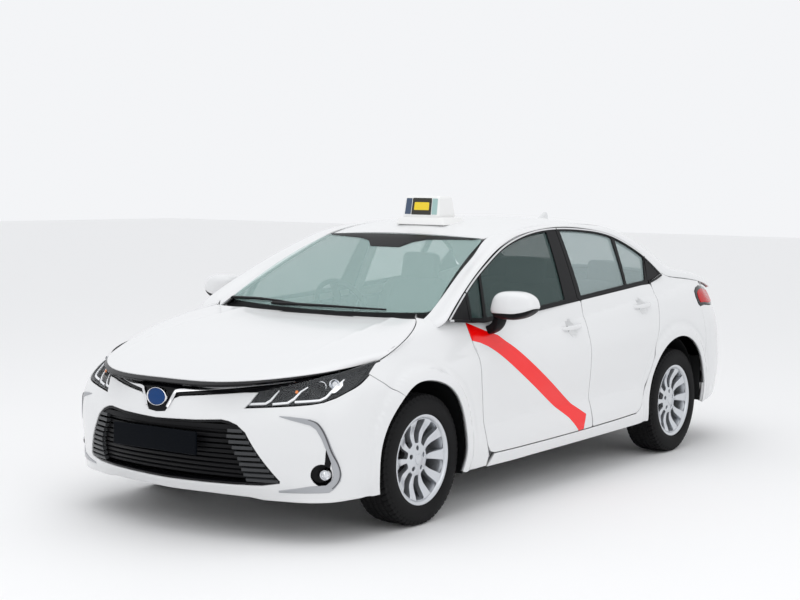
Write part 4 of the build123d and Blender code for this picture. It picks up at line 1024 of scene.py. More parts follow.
def onPane(pane):
    return stretched(lambda s, v: paneSurface(pane, s, v), *pane["size"])

# a sheet of glass inside its rounded outline
def screenPanel(pane):
    (width, height), edge = pane["size"], glazing["edge"]
    w, h = width - edge, height - edge
    loop = rounded(np.array([(-w, edge), (w, edge), (w, h), (-w, h)]), glazing["corner"])
    return panel(onPane(pane), loop, step=0.03, thick=glazing["thick"], roll=0.001, out=pane["out"])

def bootPanel():
    width, length = boot["size"]
    w = width - gap
    loop = rounded(np.array([(-w, gap), (w, gap), (w, length), (-w, length)]), boot["corner"])
    return panel(stretched(bootSurface, width, length), loop, step=0.018, thick=0.02, roll=0.004,
                 out=(0, 1, 0.6))

rearBumper = {
    # (u, z) on the belt: the lower edge from the tail forward, then round the lamps to the boot lid
    "lower": ((3.029, 0.325), (2.6, 0.322), (2.3, 0.318), (2.1, 0.308), (1.9, 0.285), (1.76, 0.272),
        (1.68, 0.276)),
    "upper": ((1.684, 0.4), (1.69 + gap, 0.52), (1.692 + gap, 0.7), (1.64, 0.872),
        (1.72, 0.878), (1.85, 0.87), (2.0, 0.866), (2.2, 0.867), (2.375, 0.866),
        (2.388, 0.855), (2.392, 0.7), (2.4, 0.686), (2.45, 0.684), (2.7, 0.682),
        (3.029, 0.682)),
}

def rearBumperPanel():
    loop = completeRing([*rearBumper["lower"], *rearBumper["upper"]], beltKnots[-1])
    return panel(rearRing, loop, step=0.022, edgeStep=0.015, thick=0.03, roll=0.005)

fog = {
    "hole": (-2.069, 0.321, 0.05), "lamp": (0.757, -1.998, 0.322), "facing": (0.35, -0.94, 0.0),
    "fin": ((-2.056, 0.366), (-2.037, 0.445), (-2.024, 0.376), (-2.03, 0.352)), "sink": 0.004,
    # (x, share of the hole's radius), then (x, radius)
    "dish": ((0.0, 1.0), (-0.012, 0.93), (-0.04, 0.84), (-0.044, 0.002), (-0.05, 0.002), (-0.05, 1.0)),
    "bezel": ((0.014, 0.025), (0.017, 0.023), (0.008, 0.02), (-0.02, 0.02), (-0.02, 0.025)),
    "glass": ((0.012, 0.0001), (0.01, 0.012), (0.004, 0.02), (-0.02, 0.02), (-0.02, 0.0001)),
}

place("hoodSkin", hoodPanel(), bodyPaint, "hood", ("hood",), "body_paint")
place("frontBumperSkin", bumperPanel(), bodyPaint, "body", ("front_bumper",), "body_paint")
place("fenderSkins", bothHands(fenderPanel()), bodyPaint, "body", ("front_fenders",), "body_paint")
quarter = quarterPanel()
strips = stripPanel()
for hand, mirror in hands.items():
    place("sideSkin" + hand.title(), mirror(joined(quarter, strips)), bodyPaint, "body",
          ("side_frame_" + hand,), "body_paint")
    for which, paint in (("front", doorPaint), ("rear", bodyPaint)):
        body = "door_" + which + "_" + hand
        place(which + "DoorSkin" + hand.title(), mirror(doorPanel(which)), paint, body, (body,), "body_paint")
place("roofSkin", roofPanel(), bodyPaint, "body", ("roof_panel",), "body_paint")
place("windscreenGlass", screenPanel(screen), screenGlass, "body", ("windscreen",), "clear_glass")
frit = {
    # share of the half width and of the height: the black band along the top with its lower bump
    "band": ((-0.975, 0.985), (-0.9, 0.955), (-0.64, 0.925), (-0.39, 0.9), (-0.24, 0.86),
        (-0.13, 0.775), (0.22, 0.775), (0.3, 0.86), (0.42, 0.91), (0.7, 0.935), (0.9, 0.95),
        (0.975, 0.985)),
    "lift": (0, -0.0006, 0.0008),
    "wipers": (((-0.96, 0.004), (-0.668, 0.034), (-0.222, 0.026)),
        ((-0.48, 0.012), (0.18, 0.026), (0.62, 0.012))),
    "wiperLift": (0, -0.006, 0.01), "wiperSize": (0.016, 0.01, 0.003),
}

# the band printed inside the windscreen and the two wipers that lie on it
def screenTrims():
    onGlass = onPane(screen)
    band = rounded(np.array(frit["band"]) * screen["size"], 0.012, 4)
    shapes = [panel(lambda a, b: onGlass(a, b) + frit["lift"], band, step=0.03, edgeStep=0.02, thick=0.002,
                    roll=0.0004, out=(0, -1, 1))]
    for line in frit["wipers"]:
        line = smoothLine(np.array(line) * screen["size"], 30)
        path = onGlass(line[:, 0], line[:, 1]) + frit["wiperLift"]
        shapes.append(sweep(path, boxProfile(*frit["wiperSize"]), (0, -0.45, 0.9), np.linspace(1.2, 0.6, 30)))
    return joined(*shapes)

place("screenTrims", screenTrims(), blackTrim)
place("rearGlass", screenPanel(backlight), screenGlass, "body", ("rear_window",), "clear_glass")
place("bootSkin", bootPanel(), bodyPaint, "boot_lid", ("boot_lid",), "body_paint")
place("rearBumperSkin", rearBumperPanel(), bodyPaint, "body", ("rear_bumper",), "body_paint")
print("stage: body panels")

# a dish inside a loop: pressed in by depth, with sloping walls of the given width
def dished(surface, loop, depth, wall, lift=0.0):
    loop = np.asarray(loop, float)

    def amount(a, b):
        points = np.stack([a, b], 1)
        away = awayFromLoop(points, loop) * np.where(insideLoop(points, loop), 1, 0)
        return depth * ease(0.0, wall, away) - lift
    return inset(surface, amount)

# a flat strip laid along a line on a surface, its size tapering at both ends; a line with smooth
# set runs through that many points of a spline, and another keeps its corners
def stripOn(surface, points, width, lift, thick, taper=(1.0, 1.0), reach=(0.2, 0.5), smooth=0):
    line = smoothLine(points, smooth) if smooth else loopDense(points, 0.006, closed=False)
    path, normal = surface(line[:, 0], line[:, 1]), normalsOf(surface, line[:, 0], line[:, 1])
    t = np.linspace(0, 1, len(line))
    size = np.minimum(taper[0] + (1 - taper[0]) * np.clip(t / reach[0], 0, 1),
                      taper[1] + (1 - taper[1]) * np.clip((1 - t) / reach[1], 0, 1))
    return sweep(path + normal * lift, boxProfile(width, thick, min(width, thick) * 0.3), normal, size)

# the nose bar with the pod round the badge
def noseBar():
    line = bodyOutline
    half = [nose["barFoot"], *[(u + 0.002, z) for u, z in line["pod"][:-1][::-1]],
            *[(u, z + 0.002) for u, z in line["barLow"][::-1]], *nose["barEnd"], *nose["barTop"]]
    loop = completeRing(half, beltKnots[0])
    return panel(inset(frontRing, nose["barDepth"]), loop, step=0.016, edgeStep=0.012, thick=0.03, roll=0.002)

# the blank oval badge: a ring and a face turned about X, squeezed to its height and aimed forward
def badgeParts():
    wide, high = nose["badgeSize"]
    tilt = np.array(Matrix.Rotation(math.radians(nose["badgeLean"]), 3, "X")
                    @ Matrix.Rotation(math.radians(-90), 3, "Z"))
    ring = turned([(0.004, wide), (0.009, wide - 0.002), (0.01, wide - 0.005), (0.006, wide - 0.008),
                   (-0.01, wide - 0.008), (-0.01, wide)], 64)
    face = turned([(0.007, 0.0001), (0.007, wide * 0.5), (0.005, wide - 0.008), (-0.01, wide - 0.008),
                   (-0.01, 0.0001)], 64)
    return [moved(moved(shape, np.diag([1, 1, high / wide])), tilt, nose["badge"]) for shape in (ring, face)]

grille = {
    "slats": 10, "low": 0.286, "high": 0.514, "thick": 0.0165, "deep": 0.02, "round": 0.004,
    "sideDepth": 0.014, "middleDepth": 0.036, "overlap": 0.02,
    "frame": 0.012, "frameDepth": 0.006, "backDepth": 0.075,
    "brow": (0.528, 0.53, 0.02, 0.024),  # height of its ends and of itself, depth, thickness
    # heights with the station of the grille's side there, and of the line between the sections
    "sideZ": (0.256, 0.262, 0.278, 0.29, 0.508, 0.541, 0.552),
    "sideU": (-2.5, -2.35, -2.262, -2.258, -2.407, -2.455, -2.52), "sideInset": 0.008,
    "splitZ": (0.285, 0.339, 0.391, 0.436, 0.482),
    "splitU": (-2.418, -2.427, -2.439, -2.462, -2.493),
}

# stations where a slat at a height ends at the grille's side and where its side section starts
def slatEnds(z):
    return (np.interp(z, grille["sideZ"], grille["sideU"]) - grille["sideInset"],
            np.interp(z, grille["splitZ"], grille["splitU"]))

# a slat at one height of the nose, its middle depth metres inside the surface
def slat(z, start, end, depth, thick, count=30):
    u, height = np.linspace(start, end, count), np.full(count, z)
    normal = normalsOf(frontRing, u, height)
    path = frontRing(u, height) - normal * depth
    return sweep(path, boxProfile(thick, grille["deep"], grille["round"]), normal)

def grilleParts():
    loop = completeRing(bodyOutline["grille"], beltKnots[0])
    loop = loop if turnsLeft(loop) else loop[::-1]
    frameHole = loopOffset(loopDense(loop, 0.02), -grille["frame"])
    frame = panel(inset(frontRing, grille["frameDepth"]), loop, [frameHole], step=0.012, edgeStep=0.012,
                  thick=0.05, roll=0.002)
    backing = panel(inset(frontRing, grille["backDepth"]), loop, step=0.03, thick=0.004, roll=0.001)
    middle, sides = [], []
    twice, thick, more = 2 * beltKnots[0], grille["thick"], grille["overlap"]
    for z in np.linspace(grille["low"], grille["high"], grille["slats"]):
        side, split = slatEnds(z)
        middle.append(slat(z, twice - split - more, split + more, grille["middleDepth"], thick, 60))
        sides.append(slat(z, split, side, grille["sideDepth"], thick))
        sides.append(slat(z, twice - side, twice - split, grille["sideDepth"], thick))
    endZ, z, depth, browThick = grille["brow"]
    side = slatEnds(endZ)[0]
    brow = slat(z, twice - side, side, depth, browThick, 80)
    return frame, backing, joined(*middle, brow), joined(*sides)

headlamp = {
    "lift": 0.001, "lensDepth": 0.001, "dish": (0.034, 0.012, -0.005), "stripDepth": 0.022,
    "strips": (
        ((-2.431, 0.635), (-2.354, 0.641), (-2.332, 0.655), (-2.298, 0.7)),
        ((-2.32, 0.64), (-2.247, 0.648), (-2.222, 0.665), (-2.196, 0.698), (-2.162, 0.717)),
        ((-2.212, 0.653), (-2.079, 0.663), (-2.054, 0.675), (-2.037, 0.698), (-2.005, 0.722),
         (-1.935, 0.748)),
    ),
    "stripSize": (0.012, 0.004, 0.008), "stripTaper": (1.0, 0.45),  # width, lift, thickness
    "line": ((-2.05, 0.69), (-2.012, 0.722), (-1.95, 0.744), (-1.962, 0.722), (-2.01, 0.694)),
    "lineDepth": 0.016,
    # places of the units, the way they face and their (x, radius) outlines
    "projectors": ((0.683, -1.94, 0.708), (0.64, -1.992, 0.676)), "ring": (0.683, -1.937, 0.708),
    "reflector": (0.722, -1.893, 0.716), "spot": (0.606, -2.022, 0.684),
    "facing": (0.35, -0.93, 0.05), "reflectorFacing": (0.45, -0.88, 0.1),
    "ballShape": ((0.016, 0.0001), (0.013, 0.009), (0.006, 0.015), (-0.008, 0.018), (-0.016, 0.0001)),
    "ringShape": ((0.006, 0.023), (0.008, 0.021), (0.004, 0.019), (-0.01, 0.019), (-0.01, 0.023)),
    "bowlShape": ((0.01, 0.024), (0.011, 0.022), (-0.006, 0.012), (-0.008, 0.0001), (-0.014, 0.0001),
        (-0.014, 0.024)),
    "spotShape": ((0.006, 0.0001), (0.005, 0.006), (0.0, 0.008), (-0.006, 0.0001)),
}

def headlampParts():
    loop = np.vstack([bodyOutline["lampLower"], bodyOutline["lampUpper"]]) + (0.0, headlamp["lift"])
    lens = panel(inset(beltSurface, headlamp["lensDepth"]), loop, step=0.012, edgeStep=0.01, thick=0.003,
                 roll=0.001)
    housing = panel(dished(beltSurface, loop, *headlamp["dish"]), loop, step=0.008, edgeStep=0.008,
                    thick=0.012, roll=0.001)
    deep = inset(beltSurface, headlamp["stripDepth"])
    lights = joined(*[stripOn(deep, line, *headlamp["stripSize"], headlamp["stripTaper"])
                      for line in headlamp["strips"]])
    thin = panel(inset(beltSurface, headlamp["lineDepth"]), np.array(headlamp["line"]), step=0.008,
                 thick=0.006, roll=0.001)
    return lens, housing, lights, thin

# a round unit facing along a direction: an (x, radius) outline turned and aimed
def aimed(outline, where, direction, count=40):
    turn = Vector(direction).to_track_quat("X", "Z").to_matrix()
    return moved(turned(outline, count), np.array(turn), where)

def lampUnits():
    facing = headlamp["facing"]
    return (joined(*[aimed(headlamp["ballShape"], where, facing) for where in headlamp["projectors"]]),
            aimed(headlamp["ringShape"], headlamp["ring"], facing),
            aimed(headlamp["bowlShape"], headlamp["reflector"], headlamp["reflectorFacing"]),
            aimed(headlamp["spotShape"], headlamp["spot"], facing))

def fogParts():
    u, z, radius = fog["hole"]
    middle = beltSurface(np.array([u]), np.array([z]))[0]
    facing = normalsOf(beltSurface, np.array([u]), np.array([z]))[0]
    dish = aimed([(x, radius * share) for x, share in fog["dish"]], middle - facing * fog["sink"], facing, 48)
    fin = panel(inset(beltSurface, -0.0008), np.array(fog["fin"]), step=0.008, thick=0.006, roll=0.0006)
    return (joined(dish, fin), aimed(fog["bezel"], fog["lamp"], fog["facing"]),
            aimed(fog["glass"], fog["lamp"], fog["facing"]))

place("noseBar", joined(noseBar(), noseBand()), blackGloss, "body", ("grille",))
badgeRing, badgeFace = badgeParts()
place("badgeRing", badgeRing, chrome, slot="alloy")
place("badgeFace", badgeFace, badgeBlue, slot="sign_plastic")
place("noseChrome", bothHands(stripOn(inset(beltSurface, 0.001), nose["chrome"], *nose["chromeSize"],
                                      nose["chromeTaper"])), chrome, slot="alloy")
frameRing, backing, slats, sideSlats = grilleParts()
place("grilleFrame", frameRing, blackGloss)
place("grilleBack", backing, lampBlack)
place("grilleSlats", slats, blackTrim)
place("grilleSideSlats", sideSlats, slatGrey)
lens, housing, lights, thin = headlampParts()
place("headlampHousing", bothHands(housing), lampBlack, "body", ("headlamps",), "lamp_lens")
place("headlampLights", bothHands(lights), lampLight, slot="lamp_lens")
place("headlampLines", bothHands(thin), lampBright, slot="lamp_lens")
for name, unitShape, look in zip(("Projectors", "Rings", "Reflectors", "Spots"), lampUnits(),
                                 (blackGloss, lampBright, lampBright, amber)):
    place("headlamp" + name, bothHands(unitShape), look, slot="lamp_lens")
place("headlampLens", bothHands(lens), lensClear, slot="lamp_lens")
pocket, bezel, fogGlass = fogParts()
place("fogPockets", bothHands(pocket), blackGloss)
place("fogBezels", bothHands(bezel), chrome, slot="lamp_lens")
place("fogLamps", bothHands(fogGlass), lampBright, slot="lamp_lens")

bumperTrim = {
    "outline": ((-2.262, 0.586), (-2.207, 0.585), (-2.151, 0.581), (-2.1, 0.576), (-2.064, 0.563),
        (-2.042, 0.535), (-2.02, 0.477), (-1.997, 0.407), (-1.973, 0.323), (-1.978, 0.292),
        (-2.009, 0.257), (-2.032, 0.243), (-2.08, 0.241), (-2.166, 0.239), (-2.276, 0.237),
        (-2.276, 0.246), (-2.199, 0.259), (-2.124, 0.272), (-2.049, 0.277), (-2.021, 0.301),
        (-2.015, 0.323), (-2.024, 0.374), (-2.038, 0.438), (-2.056, 0.49), (-2.077, 0.531),
        (-2.103, 0.549), (-2.152, 0.56), (-2.205, 0.571), (-2.262, 0.583)),
    # shade: (u, z) of the dark strip painted along each trim's outer side, where it lies in shadow
    "shade": ((-2.112, 0.572), (-2.066, 0.556), (-2.046, 0.524), (-2.027, 0.47), (-2.006, 0.405),
        (-1.982, 0.325), (-1.989, 0.294), (-2.02, 0.26)),
    "lift": 0.0035, "shadeSize": (0.007, 0.0045, 0.004), "shadeTaper": (0.3, 0.5),
}
trimPanel = panel(inset(beltSurface, -bumperTrim["lift"]), rounded(np.array(bumperTrim["outline"]), 0.004, 3),
                  step=0.012, edgeStep=0.008, thick=0.012, roll=0.0025)
place("bumperTrims", bothHands(trimPanel), satin, slot="alloy")
# painted shade: a dark grey strip laid along the outer side of each trim, where it lies in shadow
trimShadow = stripOn(beltSurface, bumperTrim["shade"], *bumperTrim["shadeSize"], bumperTrim["shadeTaper"],
        (0.15, 0.4), 90)
place("bumperTrimShadeStrips", bothHands(trimShadow), paintedTrimShade, slot="alloy")
plates = {"front": ((-0.26, -2.315, 0.397), (0.26, -2.3, 0.503), 0.006),
          "rear": ((-0.26, 2.272, 0.78), (0.26, 2.284, 0.89), 0.005)}
place("frontPlate", roundedBlock(*plates["front"], 40), plateBlack, "body", ("front_plate",), "plate_face")
print("stage: nose")

wheel = {
    "centres": {"front": (0.7655, -1.38, 0.316), "rear": (0.772, 1.32, 0.316)},
    "tyreWidth": 0.205, "tyreRadius": 0.316, "crown": 0.01, "steps": 360,
    # side wall from the bead out: distance in from the tyre's side, radius
    "wall": ((0.02, 0.203), (0.013, 0.214), (0.006, 0.222), (0.002, 0.236), (0.0, 0.256), (0.002, 0.276),
        (0.007, 0.292), (0.012, 0.301)),
    "grooves": (-0.048, -0.016, 0.016, 0.048), "grooveDepth": 0.007,
    "spokes": 10, "spokeIn": 0.02, "spokeOut": 0.053, "windowIn": 0.08, "windowOut": 0.193,
    "faceRadius": 0.197, "lugCircle": 0.054, "lugHole": 0.0115,
    # (x, radius) outlines
    "cap": ((0.074, 0.0001), (0.0735, 0.018), (0.071, 0.026), (0.067, 0.0285), (0.05, 0.0285),
        (0.05, 0.0001)),
    "disc": ((0.008, 0.075), (0.008, 0.14), (0.004, 0.142), (-0.012, 0.142), (-0.014, 0.14),
        (-0.014, 0.075)),
    "hat": ((0.04, 0.0001), (0.04, 0.07), (0.036, 0.076), (-0.035, 0.076), (-0.035, 0.0001)),
    "lugWell": ((0.046, 0.04), (0.046, 0.068), (0.042, 0.068), (0.042, 0.04)),
}

# radius of the tread: R - crown (x / half)^4, less four round grooves and slanted cuts at the
# shoulders and on the ribs
def tyreShape():
    half = wheel["tyreWidth"] / 2
    side = [(half - x, r) for x, r in wheel["wall"]]
    tread = np.linspace(half - 0.016, -half + 0.016, 52)
    depth = np.zeros(52)
    for groove in wheel["grooves"]:
        depth = np.maximum(depth, wheel["grooveDepth"] * (1 - ease(0.0035, 0.0055, np.abs(tread - groove))))
    crown = wheel["tyreRadius"] - wheel["crown"] * np.abs(tread / half) ** 4
    top = np.stack([tread, crown - depth], 1)
    outline = np.vstack([side, top, [(-x, r) for x, r in side[::-1]]])
    count = wheel["steps"]
    shape = turned(outline, count)
    rows = np.arange(len(outline))
    isShoulder = (rows >= 7) & (rows < 61) & (np.abs(outline[:, 0]) > 0.054)
    isRib = (rows >= 8) & (rows < 60) & (np.abs(outline[:, 0]) < 0.044)
    angle = np.arange(count)[:, None] + outline[None, :, 0] * 90 * np.sign(outline[None, :, 0])
    cut = 0.006 * (np.mod(angle, 6) < 1.4) * isShoulder + 0.003 * (np.mod(angle, 9) < 1.0) * isRib
    points = shape["points"].reshape(count, -1, 3)
    r = np.linalg.norm(points[:, :, 1:], axis=2)
    points[:, :, 1:] *= ((r - cut) / r)[:, :, None]
    return shapeOf(points.reshape(-1, 3), shape["faces"])

# the wheel's face: x falls from the hub to a shallow dish and rises to the rim
def wheelFace(a, b):
    r = np.hypot(a, b)
    x = 0.066 + 0.004 * ease(0.034, 0.028, r) - 0.01 * ease(0.03, 0.11, r) + 0.026 * ease(0.12, 0.2, r)
    return np.stack([x, a, b], 1)

# the face with its ten windows and five lug holes, the rim round it and the hub cap
def rimShape():
    holes = []
    share = 2 * math.pi / wheel["spokes"]
    near, far = (wheel["windowIn"], wheel["spokeIn"]), (wheel["windowOut"], wheel["spokeOut"])
    for middle in share * (np.arange(wheel["spokes"]) + 0.5):
        corners = []
        for (r, wide), sign in ((near, -1), (far, -1), (far, 1), (near, 1)):
            at = middle + sign * (share / 2 - math.asin(wide / 2 / r))
            corners.append((r * math.cos(at), r * math.sin(at)))
        crest = wheel["windowOut"] * 1.02
        corners.insert(2, (crest * math.cos(middle), crest * math.sin(middle)))
        holes.append(rounded(np.array(corners), 0.009, 5))
    turn = np.linspace(0, 2 * math.pi, 120, endpoint=False)
    circle = np.stack([np.cos(turn), np.sin(turn)], 1)
    for at in np.arange(5) * share * 2 + share / 2:
        nut = wheel["lugCircle"] * np.array([math.cos(at), math.sin(at)])
        holes.append(wheel["lugHole"] * circle[::10] + nut)
    face = panel(wheelFace, wheel["faceRadius"] * circle, holes, step=0.01, edgeStep=0.006, thick=0.028,
                 roll=0.003, out=(1, 0, 0))
    half = wheel["tyreWidth"] / 2 - 0.018
    lip = turned([(half + 0.004, 0.219), (half + 0.008, 0.217), (half + 0.009, 0.213), (half + 0.005, 0.203),
                  (half - 0.004, 0.197), (half - 0.02, 0.192), (0.02, 0.186), (-half, 0.19),
                  (-half - 0.006, 0.216), (-half - 0.002, 0.219), (-half, 0.205), (0.0, 0.197),
                  (half - 0.006, 0.205)], 120)
    return joined(face, lip), turned(wheel["cap"], 60)

def brakeShapes():
    return joined(turned(wheel["disc"], 96), turned(wheel["hat"], 60)), turned(wheel["lugWell"], 60)

tyreBase = tyreShape()
rimBase, capBase = rimShape()
brakeBase, lugBase = brakeShapes()
for end, centre in wheel["centres"].items():
    for hand, mirror in hands.items():
        body = "wheel_" + end + "_" + hand
        label = end.title() + hand.title()
        at = [mirror(moved(shape, offset=centre))
              for shape in (tyreBase, rimBase, capBase, brakeBase, lugBase)]
        place("tyre" + label, at[0], rubber, body, ("tyre_" + end + "_" + hand,), "tyre_rubber", 28)
        place("rim" + label, at[1], alloy, body, ("rim_" + end + "_" + hand,), "alloy", 40)
        place("hubCap" + label, at[2], alloy, body, slot="alloy")
        place("brake" + label, at[3], discSteel, body, slot="cast_block")
        place("lugWell" + label, at[4], blackTrim, body)
print("stage: wheels")

window = {
    # (y, z) of the window opening: upper edge from the front tip to the rear tip, then the lower
    "upper": ((-1.091, 0.96), (-0.88, 1.08), (-0.735, 1.152), (-0.56, 1.225), (-0.4, 1.284),
        (-0.214, 1.332), (0.008, 1.367), (0.229, 1.38), (0.586, 1.368), (0.879, 1.326),
        (1.062, 1.261), (1.195, 1.191), (1.331, 1.085)),
    "lower": ((-1.091, 0.96), (-0.785, 0.938), (-0.233, 0.964), (0.248, 0.994), (0.795, 1.029),
        (1.141, 1.047), (1.24, 1.064), (1.331, 1.085)),
    "panes": {
        # y of the front edge at the bottom and top, then of the rear edge
        "front": ((-0.879, -0.845, -0.775, -0.7), (-0.748, -0.672, 0.082, 0.15)),
        "rear": ((0.272, 0.3, 0.822, 0.868), (0.85, 0.905, 1.092, 1.175)),
    },
    "splitY": (0.221, 0.262), "frontEdge": (-0.905, -0.875), "rearEdge": (1.118, 1.186),
    "frameLift": 0.001, "glassLift": -0.006, "overlap": 0.006,
    # the black corners on the body, before the front door and behind the rear one
    "corners": (((-1.08, 0.966), (-0.91, 0.951), (-0.88, 1.072)),
        ((1.124, 1.052), (1.24, 1.068), (1.322, 1.086), (1.19, 1.186))),
    # trims: distance above their line, width, lift off the window plane, thickness
    "chrome": (-0.001, 0.009, 0.005, 0.006), "rubber": (-0.003, 0.012, 0.005, 0.008),
    "tipChrome": (-0.002, 0.01, 0.006, 0.007),
    "chromeSpan": {"front": (-0.872, 0.258), "rear": (0.266, 1.18)},
    "rubberSpan": {"front": (-0.9, 0.217), "rear": (0.225, 1.11)},
}

# height of the upper edge of the window opening: a spline over y
def upperZ(y):
    upper = np.array(window["upper"])
    return splineWeights(upper[:, 0], y) @ upper[:, 1]

# height of its lower edge: straight runs over y
def lowerZ(y):
    lower = np.array(window["lower"])
    return np.interp(y, lower[:, 0], lower[:, 1])

# W(y, z) = (sideX(z) + lift, y, z)
def sidePlane(lift):
    return lambda y, z: np.stack([sideX(z) + lift, y, z], 1)

# the part of the window opening between two slanted lines, shrunk by an amount at top and bottom
def windowLoop(frontLow, frontHigh, rearLow, rearHigh, shrink, count=14):
    low = np.linspace(frontLow, rearLow, count)
    high = np.linspace(rearHigh, frontHigh, count)
    return np.vstack([np.stack([low, lowerZ(low) + shrink], 1), np.stack([high, upperZ(high) - shrink], 1)])

# a door's window frame with a hole for each pane, and the panes behind it
def windowParts(which):
    if which == "front":
        edges = [*window["frontEdge"], *[y - gap for y in window["splitY"]]]
    else:
        edges = [*[y + gap for y in window["splitY"]], *window["rearEdge"]]
    panes = window["panes"][which]
    holes = [rounded(windowLoop(*pane, 0.014, 10), 0.008, 3) for pane in panes]
    frame = panel(sidePlane(window["frameLift"]), windowLoop(*edges, -0.004), holes, step=0.014,
                  edgeStep=0.01, thick=0.024, roll=0.0015)
    wider = np.array([-1, -1, 1, 1]) * window["overlap"]
    sheets = [panel(sidePlane(window["glassLift"]), windowLoop(*(pane + wider), 0.009, 12), step=0.04,
                    edgeStep=0.02, thick=0.004, roll=0.001) for pane in np.array(panes)]
    return frame, joined(*sheets)

# a trim along the opening's upper or lower edge
def sideTrim(span, count, edge, look):
    offset, width, lift, thick = window[look]
    y = np.linspace(*span, count)
    z = (upperZ(y) if edge == "upper" else lowerZ(y)) + offset
    path = np.stack([sideX(z) + lift, y, z], 1)
    return sweep(path, boxProfile(width, thick, 0.0015), (1.0, 0.0, 0.44))

for hand, mirror in hands.items():
    for which, tint in (("front", sideGlass), ("rear", rearSideGlass)):
        body = "door_" + which + "_" + hand
        frame, panes = windowParts(which)
        label = which.title() + hand.title()
        place("windowFrame" + label, mirror(frame), blackTrim, body)
        place("windowGlass" + label, mirror(panes), tint, body, ("door_" + which + "_glass_" + hand,),
              "tinted_glass")
        high = sideTrim(window["chromeSpan"][which], 60, "upper", "chrome")
        low = sideTrim(window["rubberSpan"][which], 50, "lower", "rubber")
        place("windowChrome" + label, mirror(high), chrome, body, slot="alloy")
        place("windowRubber" + label, mirror(low), blackTrim, body)
    corners = joined(*[panel(sidePlane(window["frameLift"]), np.array(corner), step=0.012, thick=0.02,
                             roll=0.0015) for corner in window["corners"]])
    place("windowCorners" + hand.title(), mirror(corners), blackTrim)
    bright = joined(sideTrim((-1.085, -1.055), 5, "lower", "tipChrome"),
                    sideTrim((-1.085, -0.882), 12, "upper", "chrome"),
                    sideTrim((1.19, 1.326), 14, "upper", "chrome"))
    dark = joined(sideTrim((-1.05, -0.91), 12, "lower", "rubber"),
                  sideTrim((1.125, 1.326), 14, "lower", "rubber"))
    place("cornerChrome" + hand.title(), mirror(bright), chrome, slot="alloy")
    place("cornerRubber" + hand.title(), mirror(dark), blackTrim)
print("stage: side windows")

mirrorTable = {
    "centre": (0.972, -0.745, 1.028), "half": (0.12, 0.078, 0.066), "power": 3.4,
    "inner": (0.955, 0.014),  # size and drop of the black shell inside the painted one
    "foot": ((0.8, -0.722, 0.886), (0.84, -0.722, 0.902), (0.868, -0.726, 0.935), (0.88, -0.73, 0.985)),
    "footSize": (0.066, 0.046, 0.014),
    "glass": ((-0.095, 0.062, -0.038), (0.07, 0.076, 0.04)),
}

# a closed grid of points |x|^n + |y|^n + |z|^n = 1 with its faces; poles at the lower and upper end
def superShell(power, rows=40, columns=60):
    tilt = np.linspace(-math.pi / 2, math.pi / 2, rows + 2)[1:-1]
    turn = np.arange(columns) * 2 * math.pi / columns
    tilt, turn = np.meshgrid(tilt, turn, indexing="ij")
    ball = np.stack([np.cos(tilt) * np.cos(turn), np.cos(tilt) * np.sin(turn), np.sin(tilt)], -1)
    ball = ball.reshape(-1, 3)
    p = ball * (np.abs(ball) ** power).sum(-1, keepdims=True) ** (-1 / power)
    return np.vstack([p, [(0, 0, -1)], [(0, 0, 1)]]), ballFaces(rows, columns)

# the mirror's housing: narrower at the top, its lower edge rising to a point at the outer end
def mirrorShell(size=1.0, drop=0.0):
    p, faces = superShell(mirrorTable["power"])
    outer = np.clip(p[:, 0], 0, 1)
    p[:, 1] *= 1 - 0.35 * outer * (p[:, 1] < 0) - 0.06 * p[:, 2]
    p[:, 2] *= np.where(p[:, 2] < 0, 1 - 0.7 * outer ** 1.6, 1 - 0.22 * outer ** 2)
    p[:, 0] = p[:, 0] * (1 - 0.15 * p[:, 2]) + 0.02
    return shapeOf(p * mirrorTable["half"] * size + mirrorTable["centre"] - (0, 0, drop), faces)

def mirrorParts():
    foot = sweep(smoothLine(mirrorTable["foot"], 16), boxProfile(*mirrorTable["footSize"], 4), (0, 0, 1))
    low, high = np.array(mirrorTable["glass"]) + mirrorTable["centre"]
    return joined(foot, mirrorShell(*mirrorTable["inner"])), roundedBlock(low, high, 0.008, 32)

# a grip bowed off the door by bow (1 - |t|^3.5) - foot, where t runs from -1 to 1 along it, so
# that both ends sink into the skin
def handleGrip(which):
    y, z = handles[which]
    reach = handles["reach"]
    ys = np.linspace(y - reach, y + reach, 40)
    height = z + handles["lift"] + (ys - y) * handles["rise"]
    skin = beltSurface(*toStations(np.stack([ys, height], 1)).T)
    along = np.abs((ys - y) / reach)
    skin[:, 0] += handles["bow"] * (1 - along ** 3.5) - handles["foot"]
    return sweep(skin, boxProfile(*handles["grip"], 4), (1, 0, 0.1), 0.65 + 0.35 * (1 - along ** 2))

for hand, mirror in hands.items():
    body = "door_front_" + hand
    place("mirrorShell" + hand.title(), mirror(mirrorShell()), bodyPaint, body, ("mirror_" + hand,),
          "body_paint")
    base, mirrorGlass = mirrorParts()
    place("mirrorBase" + hand.title(), mirror(base), blackTrim, body)
    place("mirrorGlass" + hand.title(), mirror(mirrorGlass), chrome, body, slot="alloy")
    for which in ("front", "rear"):
        place("handle" + which.title() + hand.title(), mirror(handleGrip(which)), bodyPaint,
              "door_" + which + "_" + hand, slot="body_paint")
print("stage: mirrors and handles")

